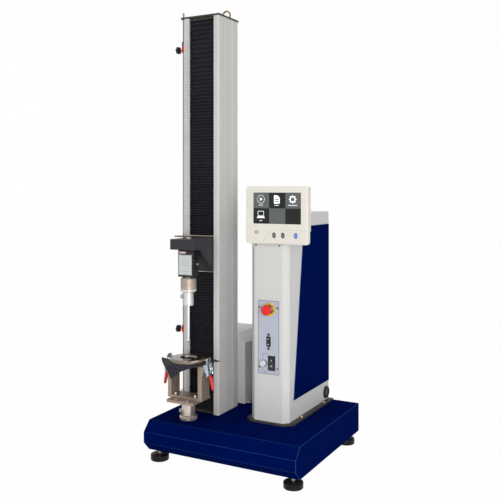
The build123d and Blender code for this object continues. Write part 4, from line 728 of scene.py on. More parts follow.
def stroke(path, width, low, high, closed=False):
    """A printed line of even width along a path: each point moves half a width to both sides."""
    least_lean = 0.4
    line = np.asarray(path, float)
    ahead = np.roll(line, -1, 0) - line
    behind = line - np.roll(line, 1, 0)
    if not closed:
        ahead[-1] = behind[-1]
        behind[0] = ahead[0]
    ahead /= np.linalg.norm(ahead, axis=1)[:, None]
    behind /= np.linalg.norm(behind, axis=1)[:, None]
    normal = np.column_stack([-(ahead + behind)[:, 1], (ahead + behind)[:, 0]])
    normal /= np.linalg.norm(normal, axis=1)[:, None]
    lean = np.abs((normal * np.column_stack([-ahead[:, 1], ahead[:, 0]])).sum(1))
    offset = normal * (width / 2 / np.maximum(lean, least_lean))[:, None]
    left = line + offset
    right = line - offset
    if closed:
        return ring_slab(left, right, low, high)
    return slab(np.concatenate([left, right[::-1]]), low, high)


def lathe(radii, heights, sides):
    """A profile turned about the out axis: (r cos a, r sin a, h), welded where r is 0.

    A radius may be a number or one value for each side.
    """
    angle = np.arange(sides) * TURN / sides
    rows = []
    for radius, height in zip(radii, heights):
        reach = np.broadcast_to(radius, sides)
        rows.append(np.column_stack([reach * np.cos(angle), reach * np.sin(angle), np.full(sides, height)]))
    return np.concatenate(rows), grid_faces(len(rows), sides, seam=True)


def hexagon_radius(across, sides):
    """Distance to a hexagon's edge in each of several directions: a / cos of the angle to the flat."""
    angle = np.arange(sides) * TURN / sides
    return across / 2 / np.cos(np.mod(angle, np.pi / 3) - np.pi / 6)


def socket_screw(radius, height, socket):
    """A screw head with a hexagon socket: a domed profile whose inner rows follow a hexagon."""
    sides = 24
    inner = hexagon_radius(socket, sides)
    floor = height * 0.35
    radii = [0, inner, inner, inner + radius * 0.08, radius * 0.86, radius, radius, 0]
    heights = [floor, floor, height - 0.08, height, height * 0.98, height * 0.72, 0, 0]
    return lathe(radii, heights, sides)


def threaded_stud(core, crest, pitch, low, high, sides=24):
    """A thread: r = core + (crest - core) * triangle wave of (h / pitch - angle / turn)."""
    rows_per_turn = 6
    count = int((high - low) / pitch * rows_per_turn)
    height = np.linspace(low, high, count)[:, None]
    angle = np.arange(sides)[None, :] * TURN / sides
    phase = np.mod(height / pitch - angle / TURN, 1.0)
    reach = core + (crest - core) * (1 - np.abs(2 * phase - 1))
    level = np.broadcast_to(height, reach.shape)
    turns = np.stack([reach * np.cos(angle), reach * np.sin(angle), level], -1)
    bottom, top = (np.zeros((1, sides, 3)) + (0, 0, level) for level in (low, high))
    points = np.concatenate([bottom, turns, top])
    return points.reshape(-1, 3), grid_faces(count + 2, sides, seam=True)


def dress(node, *finishes, pick=None):
    """Give a fixed part its finishes; pick turns face centres in millimetres into a finish number."""
    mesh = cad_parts[node].data
    mesh.materials.clear()
    for finish in finishes:
        mesh.materials.append(finish)
    if pick is None:
        return
    centres = np.empty(len(mesh.polygons) * 3)
    mesh.polygons.foreach_get("center", centres)
    chosen = np.asarray(pick(centres.reshape(-1, 3) / MM)).astype(np.int32)
    mesh.polygons.foreach_set("material_index", chosen)


def dress_all(colours, plan):
    """Dress parts by a plan that names, for each finish, the parts that share it."""
    for name, nodes in plan.items():
        finish = coat(name, colours)
        for node in nodes.split():
            dress(node, finish)


class TESTER_OT_stage(bpy.types.Operator):
    """Set the white sweep, the softboxes, the world and the camera."""

    bl_idname = "tester.stage"
    bl_label = "Stage"

    # Places and sizes are in metres, powers in watts, the lens in millimetres, the turn in degrees.
    aim = (-0.02, 0.0, 0.7)
    # Place, side and power of each softbox.
    softboxes = {
        "key": ((-3.0, -4.2, 1.9), 2.6, 18.0),
        "fill": ((2.5, -3.0, 1.0), 2.2, 86.0),
        "front": ((1.55, -2.75, 0.55), 1.0, 12.0),
        "top": ((0.3, 0.3, 4.0), 2.6, 54.0),
    }
    room_light = 0.33
    half, bend, wall = 40.0, 4.0, 30.0
    lens, shift = 52.4, -0.12
    stand, turn = (1.192, -2.2505, 0.912), 28.36

    def execute(self, context):
        scene = context.scene
        self.sweep(scene)
        self.world(scene)
        for name, (place, size, power) in self.softboxes.items():
            lamp = bpy.data.lights.new(name, "AREA")
            lamp.shape = "SQUARE"
            lamp.size = size
            lamp.energy = power
            holder = self.hold(scene, name, lamp, place)
            holder.rotation_euler = (Vector(self.aim) - Vector(place)).to_track_quat("-Z", "Y").to_euler()
        self.camera(scene)
        scene.view_settings.view_transform = "Standard"
        return {"FINISHED"}

    def hold(self, scene, name, data, place=(0, 0, 0)):
        """Add an object to the scene."""
        holder = bpy.data.objects.new(name, data)
        scene.collection.objects.link(holder)
        holder.location = place
        return holder

    def sweep(self, scene):
        """Floor that bends up into a backdrop: a straight run, a quarter circle and a wall."""
        angle = np.linspace(0, np.pi / 2, 24)
        back = self.half - self.bend + self.bend * np.sin(angle)
        depth = np.concatenate([[-self.half], back, [self.half]])
        level = np.concatenate([[0.0], self.bend - self.bend * np.cos(angle), [self.wall]])
        across = np.linspace(-self.half, self.half, 3)
        points = np.zeros((len(depth), len(across), 3))
        points[..., 0] = across[None, :]
        points[..., 1] = depth[:, None]
        points[..., 2] = level[:, None]
        mesh = bpy.data.meshes.new("floor")
        mesh.from_pydata(points.reshape(-1, 3).tolist(), [], grid_faces(len(depth), len(across)))
        mesh.materials.append(floor_white("floor_white"))
        self.hold(scene, "floor", mesh)

    def world(self, scene):
        """Soft light from all round, which the camera and mirrors see as white."""
        world = bpy.data.worlds.new("studio")
        scene.world = world
        world.use_nodes = True
        tree = world.node_tree
        light = tree.nodes["Background"]
        light.inputs["Color"].default_value = (1.0, 1.0, 1.0, 1.0)
        light.inputs["Strength"].default_value = self.room_light
        white = white_light(tree, "Background", 1.0)
        mix_shaders(tree, add_rays(tree), light.outputs["Background"], white, tree.nodes["World Output"])

    def camera(self, scene):
        """The photograph's view: level and turned, with the horizon above the middle."""
        view = bpy.data.cameras.new("camera")
        view.lens = self.lens
        view.shift_y = self.shift
        holder = self.hold(scene, "camera", view, self.stand)
        holder.rotation_euler = (np.pi / 2, 0.0, np.radians(self.turn))
        scene.camera = holder


class TESTER_OT_base(bpy.types.Operator):
    """Finish the base, its feet and the frame inside."""

    bl_idname = "tester.base"
    bl_label = "Base and feet"

    pad_reach, pad_top = 31.0, 21.9
    stud_reach, stud_core, stud_crest, stud_top = 7.0, 5.9, 6.55, 36.0
    rim_radii = (0, 31.1, 31.1, 29.6, 24.0, 23.0, 14.5, 0)
    rim_heights = (9.0, 9.0, 17.0, 19.2, 19.8, 21.4, 21.8, 21.8)
    rim_sides = 56

    def execute(self, context):
        colours = context.scene.tester_colours
        pitch = context.scene.tester_sizes.stud_pitch
        dress_all(colours, {"navy_powder": "base_cover", "works_black": "base_frame"})
        zinc = coat("yellow_zinc", colours)
        rubber = coat("pad_rubber", colours)
        dress("levelling_feet", rubber, zinc, pick=self.is_stud)
        stud = threaded_stud(self.stud_core, self.stud_crest, pitch, self.pad_top, self.stud_top)
        rim = lathe(self.rim_radii, self.rim_heights, self.rim_sides)
        for name, shape, finish in (("foot_threads", stud, zinc), ("pad_rims", rim, rubber)):
            shapes = [upright(shape, (*place, 0)) for place in self.foot_places()]
            add_piece(name, join_shapes(shapes), "machine", finish)
        return {"FINISHED"}

    def is_stud(self, centres):
        """Faces above the pads, down to the pads' tops within the studs' reach."""
        gap = np.linalg.norm(centres[:, None, :2] - self.foot_places()[None], axis=2).min(1)
        at_stud = (gap < self.stud_reach) & (centres[:, 2] > self.pad_top)
        return at_stud | (centres[:, 2] > self.pad_top + 1)

    def foot_places(self):
        """Middles of the four feet, from the outer box of their node."""
        low, high = box_mm("levelling_feet")
        near, far = low + self.pad_reach, high - self.pad_reach
        return np.array([(x, y) for x in (near[0], far[0]) for y in (near[1], far[1])])


class TESTER_OT_column(bpy.types.Operator):
    """Finish the column, its cap and the drive inside it."""

    bl_idname = "tester.column"
    bl_label = "Column"

    plan = {
        "column_alloy": "column_profile column_rear_cover",
        "works_steel": "guide_rails screw_bearings ball_screw motor_pulley",
        "works_black": "timing_belt drive_motor control_electronics",
        "black_plate": "top_plate",
        "eye_steel": "eye_bolt",
        "cover_enamel": "motor_cover",
        "ruler_steel": "scale_ruler",
    }
    top_strip = 50.0

    def execute(self, context):
        colours = context.scene.tester_colours
        dress_all(colours, self.plan)
        level = box_mm("bellows_strips")[1][2] - self.top_strip
        finishes = [coat(name, colours) for name in ("striker_steel", "black_plate")]
        dress("bellows_strips", *finishes, pick=lambda c: c[:, 2] > level)
        return {"FINISHED"}


class TESTER_OT_crosshead(bpy.types.Operator):
    """Finish the crosshead, the load cell and the probe below it."""

    bl_idname = "tester.crosshead"
    bl_label = "Crosshead and probe"

    plan = {
        "striker_steel": "striker_arm",
        "pale_nickel": "probe_socket",
        "polished_steel": "puncture_probe",
        "knurled_chrome": "socket_pin",
    }
    skin = 0.05
    bolt_height, bolt_reach = 5.0, 12
    lead_reach = 31.6
    lock_ring = 10.6

    def execute(self, context):
        colours = context.scene.tester_colours
        dress_all(colours, self.plan)
        charcoal = coat("charcoal_satin", colours)
        nickel = coat("turned_nickel", colours)
        low, high = box_mm("crosshead_bracket")
        arm_top = high[2] - self.bolt_height

        def is_strip(centres):
            return (centres[:, 2] > high[2] + self.skin) | (centres[:, 2] < low[2] - self.skin)

        def is_bright(centres):
            reach = np.hypot(centres[:, 0] - AXIS_X, centres[:, 1] - TEST_Y)
            bolt = (centres[:, 2] > arm_top - self.skin) & (reach < self.bolt_reach)
            return bolt | (centres[:, 0] > AXIS_X + self.lead_reach)

        seam = box_mm("probe_adapter")[0][2] + self.lock_ring
        dress("crosshead_bracket", charcoal)
        dress("carriage", charcoal, coat("strip_alloy", colours), pick=is_strip)
        dress("load_cell", coat("black_anodised", colours), nickel, pick=is_bright)
        dress("probe_adapter", nickel, coat("lock_ring_nickel", colours), pick=lambda c: c[:, 2] < seam)
        return {"FINISHED"}


class TESTER_OT_fixture(bpy.types.Operator):
    """Finish the lower fixture and its toggle clamps."""

    bl_idname = "tester.fixture"
    bl_label = "Lower fixture"

    flange_top = 64.0
    grip_top, grip_lean = 152.0, 13.0
    pivot_reach, trunnion = 78.75, 175.0
    leg, leg_reach = 2.5, 10.0
    thread_low, thread_high = 0.4, 17.0
    thread_core, thread_crest = -0.05, 0.35
    skin = 0.02

    def execute(self, context):
        colours = context.scene.tester_colours
        nickel, pale, zinc, grip = (
            coat(name, colours) for name in ("fixture_nickel", "spigot_nickel", "bright_zinc", "red_grip")
        )
        flange_top = DECK + self.flange_top
        dress("base_spigot", pale)
        dress("fixture_plate", nickel, pale, pick=lambda c: c[:, 2] < flange_top)
        dress("fixture_yoke", nickel)
        dress_all(colours, {"ring_steel": "upper_ring", "knurled_chrome": "spigot_pin"})
        dress("clamp_brackets", zinc)
        for name, side in (("left", -1), ("right", 1)):
            dress(f"{name}_clamp_hook", zinc)
            dress(f"{name}_clamp_lever", zinc, grip, pick=lambda c, s=side: self.is_grip(c, s))
            self.hook_threads(name, side, context.scene.tester_sizes.hook_pitch, zinc)
        return {"FINISHED"}

    def is_grip(self, centres, side):
        """Faces past the grip's upper end, measured along the leaning lever."""
        lean = np.radians(self.grip_lean)
        from_trunnion = centres[:, 2] - DECK - self.trunnion
        sideways = (centres[:, 0] - AXIS_X - side * self.pivot_reach) * side
        along = from_trunnion * np.cos(lean) - sideways * np.sin(lean)
        top = (self.grip_top - self.trunnion) / np.cos(lean)
        return along < top + self.skin

    def hook_threads(self, name, side, pitch, zinc):
        """Threads on the lower ends of both legs of a hook."""
        end = box_mm(f"{name}_clamp_hook")[0][2]
        core, crest = self.leg + self.thread_core, self.leg + self.thread_crest
        stud = threaded_stud(core, crest, pitch, end + self.thread_low, end + self.thread_high, 16)
        across = AXIS_X + side * self.pivot_reach
        shapes = [upright(stud, (across, y, 0)) for y in (TEST_Y - self.leg_reach, TEST_Y + self.leg_reach)]
        add_piece(f"{name}_hook_threads", join_shapes(shapes), f"{name}_hook", zinc)


class TESTER_OT_stops(bpy.types.Operator):
    """Finish the limit rod, the stop collars and their star knobs."""

    bl_idname = "tester.stops"
    bl_label = "Limit stops"

    collar, hub, skin = 24.5, 13.0, 0.02

    def execute(self, context):
        colours = context.scene.tester_colours
        red, bumper, black, gold = (
            coat(name, colours) for name in ("red_anodised", "bumper_rubber", "black_moulding", "brass")
        )
        collar_top = box_mm("upper_collar")[0][2] + self.collar + self.skin
        hub_end = middle_mm("limit_rod")[0] - self.hub + self.skin
        dress_all(colours, {"rod_steel": "limit_rod"})
        dress("upper_collar", red, bumper, pick=lambda c: c[:, 2] > collar_top)
        dress("lower_collar", red)
        for node in ("upper_star_knob", "lower_star_knob"):
            dress(node, black, gold, pick=lambda c: c[:, 0] > hub_end)
        return {"FINISHED"}


class TESTER_OT_console(bpy.types.Operator):
    """Finish the console, its panel, its switches and the display shells."""

    bl_idname = "tester.console"
    bl_label = "Console"

    plan = {
        "black_plate": "console_flange",
        "navy_powder": "side_panels",
        "panel_film": "control_panel",
        "red_mushroom": "estop_head",
        "gloss_black": "updown_rocker power_rocker",
        "white_knob": "speed_knob",
        "ivory_moulding": "display_front display_back",
        "screen_glass": "display_screen",
        "key_moulding": "menu_button back_button",
        "lit_key": "start_button",
    }
    bend, bend_skin, bend_edge = 18.0, 0.6, 0.3
    stop_reach, collar_reach = 30, 12.6

    def execute(self, context):
        colours = context.scene.tester_colours
        dress_all(colours, self.plan)
        black = coat("black_moulding", colours)
        paints = [coat(name, colours) for name in ("console_powder", "console_bend")]
        switches = [coat(name, colours) for name in ("yellow_plate", "polished_steel")]
        dress("side_connector", black)
        # The sloped bends take a paler copy of the paint: a painted highlight.
        dress("console_housing", *paints, pick=self.is_bend)
        dress("switch_bases", *switches, black, pick=self.switch_finish)
        return {"FINISHED"}

    def is_bend(self, centres):
        """Faces on the slopes between the housing's front and its sides, which take the painted highlight.
        """
        low, high = box_mm("console_housing")
        from_side = np.minimum(centres[:, 0] - low[0], high[0] - centres[:, 0])
        from_front = centres[:, 1] - low[1]
        on_slope = np.abs(from_side + from_front - self.bend) < self.bend_skin
        return on_slope & (from_side > self.bend_edge) & (from_front > self.bend_edge)

    def switch_finish(self, centres):
        """0 for the stop's ring, 1 for its collar and 2 for the other switches."""
        middle = middle_mm("estop_head")
        reach = np.hypot(centres[:, 0] - middle[0], centres[:, 2] - middle[2])
        return np.where(reach > self.stop_reach, 2, np.where(reach > self.collar_reach, 0, 1))


class TESTER_OT_bellows(bpy.types.Operator):
    """Make both pleated bellows, in bands."""

    bl_idname = "tester.bellows"
    bl_label = "Bellows"

    cuts = (0.0, 0.1, 0.2, 0.3, 0.7, 0.8, 0.9, 1.0)
    upper_pitch = ((0.0, 7.0), (0.15, 8.7), (0.3, 10.5), (0.6, 11.2), (0.8, 16.4), (1.0, 16.4))
    lower_pitch = ((0.0, 7.0), (0.5, 7.0), (0.75, 8.7), (1.0, 11.0))
    side_gap, front_gap, seam_gap = 0.4, 0.1, 0.01
    sag, columns = 0.5, 13

    def execute(self, context):
        sizes = context.scene.tester_sizes
        cloth = coat("bellows_cloth", context.scene.tester_colours)
        self.make("upper_bellows", self.upper_pitch, ("crosshead", "machine"), sizes, cloth)
        self.make("lower_bellows", self.lower_pitch, ("machine", "crosshead"), sizes, cloth)
        return {"FINISHED"}

    def make(self, node, pitches, bodies, sizes, cloth):
        """Cut one bellows into bands."""
        low, high = box_mm(node)
        folds = self.fold_levels(low[2], high[2], pitches)
        edges, starts, ends = self.bands(low[2], high[2])
        for number, (bottom, top, start, end) in enumerate(zip(edges[:-1], edges[1:], starts, ends)):
            shape = self.band_shape(low, high, folds, bottom, top, sizes)
            piece = add_piece(f"{node}_{number + 1}", shape, None, cloth)
            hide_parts(node)
            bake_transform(piece)

    def fold_levels(self, low, high, pitches):
        """Levels of the folds: the count of pleats up to a level is the integral of 1 / pitch."""
        samples = 400
        share = np.linspace(0, 1, samples)
        pitch = np.interp(share, *np.array(pitches).T)
        step = np.diff(share) * (high - low) * (1 / pitch[:-1] + 1 / pitch[1:]) / 2
        count = np.concatenate([[0.0], np.cumsum(step)])
        whole = round(count[-1])
        count *= whole / count[-1]
        return low + (high - low) * np.interp(np.arange(whole + 1), count, share)

    def bands(self, low, high):
        """Band edges, and the run over which each band's blend goes from 0 to 1.

        The blend weight is w = t * t * (3 - 2 t), with slope 6 t (1 - t). A band from t1 to t2
        gets a run in proportion to its steepest slope, so that every band closes by nearly the
        same share, and its height is the run times (t2 - t1).
        """
        middle, middle_slope = 0.5, 1.5
        cuts = np.array(self.cuts)
        slope = 6 * cuts * (1 - cuts)
        steepest = np.maximum(slope[:-1], slope[1:])
        steepest = np.where((cuts[:-1] < middle) & (cuts[1:] > middle), middle_slope, steepest)
        run = steepest * (high - low) / (steepest * np.diff(cuts)).sum()
        edges = low + np.concatenate([[0.0], np.cumsum(run * np.diff(cuts))])
        starts = edges[:-1] - cuts[:-1] * run
        return edges, starts, starts + run

    def band_shape(self, low, high, folds, bottom, top, sizes):
        """One band of the pleated skin.

        The face lies at y = front + depth * (1 - |cos(pi n)|), where n counts folds up to that
        level, so the outer folds are round and the inner ones sharp. The back follows it at
        the skin's thickness. A slow wave across the width lets the folds sag a little, but not
        at the band's two edges, so that neighbours meet in a straight line.
        """
        rows = int(sizes.pleat_rows)
        fold = np.arange(len(folds))
        fine = np.interp(np.arange(0, (len(folds) - 1) * rows + 1) / rows, fold, folds)
        inside = fine[(fine > bottom + self.seam_gap) & (fine < top - self.seam_gap)]
        level = np.concatenate([[bottom], inside, [top]])
        phase = np.interp(level, folds, fold)
        across = np.linspace(low[0] + self.side_gap, high[0] - self.side_gap, self.columns)
        sag = self.sag * np.cos((across - AXIS_X) / (high[0] - low[0]) * TURN)
        fold_in = sizes.pleat_depth * (1 - np.abs(np.cos(np.pi * phase)))
        drop = np.sin(np.pi * phase) ** 2
        drop[[0, -1]] = 0.0
        front = np.zeros((len(level), len(across), 3))
        front[..., 0] = across[None, :]
        front[..., 1] = low[1] + self.front_gap + fold_in[:, None]
        front[..., 2] = level[:, None] + sag[None, :] * drop[:, None]
        back = front.copy()
        back[..., 1] += sizes.pleat_skin
        ring = np.concatenate([front, back[:, ::-1]], axis=1)
        count = ring.shape[1]
        last = (len(level) - 1) * count
        faces = grid_faces(len(level), count, seam=True)
        faces.append(list(range(count)))
        faces.append(list(range(last, last + count)))
        return ring.reshape(-1, 3), faces


class TESTER_OT_sheet(bpy.types.Operator):
    """Make the clamped specimen sheet with its drooping corners."""

    bl_idname = "tester.sheet"
    bl_label = "Specimen sheet"

    # Each corner: direction in degrees, reach, angle of its droop and width of the drooping part.
    corners = (
        (21.0, 110.0, -2.0, 28.0),
        (110.0, 84.0, 6.0, 30.0),
        (198.0, 95.0, -24.0, 11.0),
        (268.0, 122.0, 64.0, 40.0),
        (322.0, 87.0, 5.0, 22.0),
    )
    clamp_reach = 65.5
    hook_clear, hook_half = 70.0, 18.5
    least_reach, blend_power = 75.0, 10
    curl, ring_gap = 14.0, 0.05
    sides, inner_rows, outer_rows = 240, 8, 16

    def execute(self, context):
        sizes = context.scene.tester_sizes
        points, faces, area = self.shape(sizes.sheet_skin)
        cloth = coat("vinyl_sheet", context.scene.tester_colours)
        piece = add_piece("specimen_cloth", (points, faces), "machine", cloth, smooth=True)
        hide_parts("specimen_sheet")
        return {"FINISHED"}

    def shape(self, skin):
        """A sheet with a few corners in polar rows, flat under the ring and curled down past it.

        Its edge follows the straight lines between the corners, cut back beside the hooks.
        Past the ring, at a run s, the sheet points down by p(a) * (1 - exp(-s / curl)), so its
        place is the running sum of (cos, -sin) of that angle.
        """
        count = self.sides
        angle = np.arange(count) * TURN / count
        reach = self.edge(angle)
        least_cosine = 0.2
        notch = np.clip(self.hook_clear / np.maximum(np.abs(np.cos(angle)), least_cosine), None, reach)
        beside = np.abs(np.tan(angle)) * self.hook_clear < self.hook_half
        reach = np.where(beside, notch, reach)
        droop = np.zeros(count)
        for middle, _, down, width in self.corners:
            gap = np.mod(angle - np.radians(middle) + np.pi, TURN) - np.pi
            droop += np.radians(down) * np.exp(-((gap / np.radians(width)) ** 2))
        inner = np.linspace(0, self.clamp_reach, self.inner_rows)
        flat = np.zeros((self.inner_rows, count))
        outer = np.linspace(0, 1, self.outer_rows)[1:, None] * (reach - self.clamp_reach)[None, :]
        step = np.diff(outer, axis=0, prepend=0)
        down = droop[None, :] * (1 - np.exp(-outer / self.curl))
        past = self.clamp_reach + np.cumsum(step * np.cos(down), axis=0)
        radius = np.concatenate([np.repeat(inner[:, None], count, 1), past])
        fall = np.concatenate([flat, -np.cumsum(step * np.sin(down), axis=0)])
        slope = np.concatenate([flat, down])
        level = box_mm("upper_ring")[0][2] - skin - self.ring_gap + skin
        top = self.to_space(radius, fall, angle, level)
        under = self.to_space(radius - skin * np.sin(slope), fall - skin * np.cos(slope), angle, level)
        rows = np.concatenate([top, under[::-1]])
        area = 0.5 * (reach**2).mean() * TURN * MM * MM
        return rows.reshape(-1, 3), grid_faces(len(rows), count, seam=True), area

    def edge(self, angle):
        """Reach of the edge in each direction.

        Between corners r1 and r2, D apart, the line at an angle t past the first is
        R = r1 r2 sin D / (r1 sin t + r2 sin(D - t)), and it never comes nearer than the least
        reach: R = (R^10 + least^10)^(1/10).
        """
        reach = np.ones(len(angle))
        for first, second in zip(self.corners, (*self.corners[1:], self.corners[0])):
            apart = np.radians(np.mod(second[0] - first[0], 360))
            past = np.mod(angle - np.radians(first[0]), TURN)
            bottom = first[1] * np.sin(past) + second[1] * np.sin(apart - past)
            here = past < apart
            reach[here] = first[1] * second[1] * np.sin(apart) / bottom[here]
        return (reach**self.blend_power + self.least_reach**self.blend_power) ** (1 / self.blend_power)

    def to_space(self, radius, fall, angle, level):
        """Polar rows to points about the test axis."""
        across = AXIS_X + radius * np.cos(angle)[None, :]
        depth = TEST_Y + radius * np.sin(angle)[None, :]
        return np.stack([across, depth, level + fall], -1)


class TESTER_OT_screws(bpy.types.Operator):
    """Make the screw heads with their sockets."""

    bl_idname = "tester.screws"
    bl_label = "Screws"

    looks = {"flat": "dark_screw", "upright": "spigot_nickel", "brass": "brass"}
    flat_share, upright_gain, socket_share, small = 0.9, 1.3, 0.95, 4

    def execute(self, context):
        groups = {name: [] for name in self.looks}
        for centre, size in self.heads():
            radius = size[0] / 2
            if size[1] < size[0] * self.flat_share and size[1] < size[2] * self.flat_share:
                head = socket_screw(radius, size[1], radius * self.socket_share)
                back = (centre[0], centre[1] + size[1] / 2, centre[2])
                groups["flat"].append(facing(head, back))
                continue
            head = socket_screw(radius, size[2] * self.upright_gain, radius * self.socket_share)
            bottom = (centre[0], centre[1], centre[2] - size[2] / 2)
            groups["brass" if radius < self.small else "upright"].append(upright(head, bottom))
        for name, shapes in groups.items():
            finish = coat(self.looks[name], context.scene.tester_colours)
            piece = add_piece(f"screws_{name}", join_shapes(shapes), "machine", finish)
            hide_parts("fixing_screws")
        return {"FINISHED"}

    def heads(self):
        """Middle and size of each plain head in the fixed part, one for each loose group of faces."""
        source = bmesh.new()
        source.from_mesh(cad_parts["fixing_screws"].data)
        bmesh.ops.remove_doubles(source, verts=source.verts, dist=1e-6)
        seen = set()
        found = []
        for vert in source.verts:
            if vert.index in seen:
                continue
            stack = [vert]
            seen.add(vert.index)
            group = []
            while stack:
                current = stack.pop()
                group.append(tuple(current.co))
                for edge in current.link_edges:
                    other = edge.other_vert(current)
                    if other.index not in seen:
                        seen.add(other.index)
                        stack.append(other)
            corners = np.array(group) / MM
            found.append(((corners.min(0) + corners.max(0)) / 2, corners.max(0) - corners.min(0)))
        source.free()
        return found


class TESTER_OT_ruler(bpy.types.Operator):
    """Print the ruler's lines and plain numbers."""

    bl_idname = "tester.ruler"
    bl_label = "Ruler marks"

    line_gap, number_gap = 0.6, 0.8
    long_line, middle_line, short_line = 7.0, 5.0, 3.2
    first_line, last_gap = 2, 3
    number_drop = 0.35

    def execute(self, context):
        sizes = context.scene.tester_sizes
        ink = coat("dark_ink", context.scene.tester_colours)
        add_piece("ruler_lines", self.lines(sizes), "machine", ink)
        numbers = range(1, int((RULER_HIGH[2] - RULER_LOW[2]) / 10))
        shapes = [self.number(str(each), sizes, RULER_LOW[2] + each * 10) for each in numbers]
        add_piece("ruler_numbers", join_shapes(shapes), "machine", ink)
        return {"FINISHED"}

    def lines(self, sizes):
        """A line each millimetre, longer at 5 and longer still at 10."""
        step = np.arange(self.first_line, int(RULER_HIGH[2] - RULER_LOW[2]) - self.last_gap)
        others = np.where(step % 5 == 0, self.middle_line, self.short_line)
        length = np.where(step % 10 == 0, self.long_line, others)
        level = RULER_LOW[2] + step
        corner = np.array([(sx, sy, sz) for sz in (0, 1) for sy in (0, 1) for sx in (0, 1)], float)
        points = np.zeros((len(step), 8, 3))
        points[..., 0] = RULER_HIGH[0] - self.line_gap - corner[None, :, 0] * length[:, None]
        points[..., 1] = RULER_LOW[1] - corner[None, :, 1] * sizes.print_height
        points[..., 2] = level[:, None] + (2 * corner[None, :, 2] - 1) * (sizes.tick_width / 2)
        sides = ((0, 1, 3, 2), (4, 6, 7, 5), (0, 4, 5, 1), (2, 3, 7, 6), (0, 2, 6, 4), (1, 5, 7, 3))
        faces = (np.arange(len(step))[:, None, None] * 8 + np.array(sides)).reshape(-1, 4).tolist()
        return points.reshape(-1, 3), faces

    def number(self, text, sizes, level):
        """One number as a thin raised mesh, made from the built-in font."""
        letters = bpy.data.curves.new("letters", "FONT")
        letters.body = text
        letters.size = sizes.number_height
        letters.extrude = sizes.print_height / 2
        letters.resolution_u = 2
        holder = bpy.data.objects.new("letters", letters)
        mesh = bpy.data.meshes.new_from_object(holder)
        flat = np.empty(len(mesh.vertices) * 3)
        mesh.vertices.foreach_get("co", flat)
        faces = [list(face.vertices) for face in mesh.polygons]
        bpy.data.meshes.remove(mesh)
        bpy.data.objects.remove(holder)
        bpy.data.curves.remove(letters)
        left = RULER_LOW[0] + self.number_gap
        face = RULER_LOW[1] - sizes.print_height / 2
        foot = level - sizes.number_height * self.number_drop
        return facing((flat, faces), (left, face, foot))


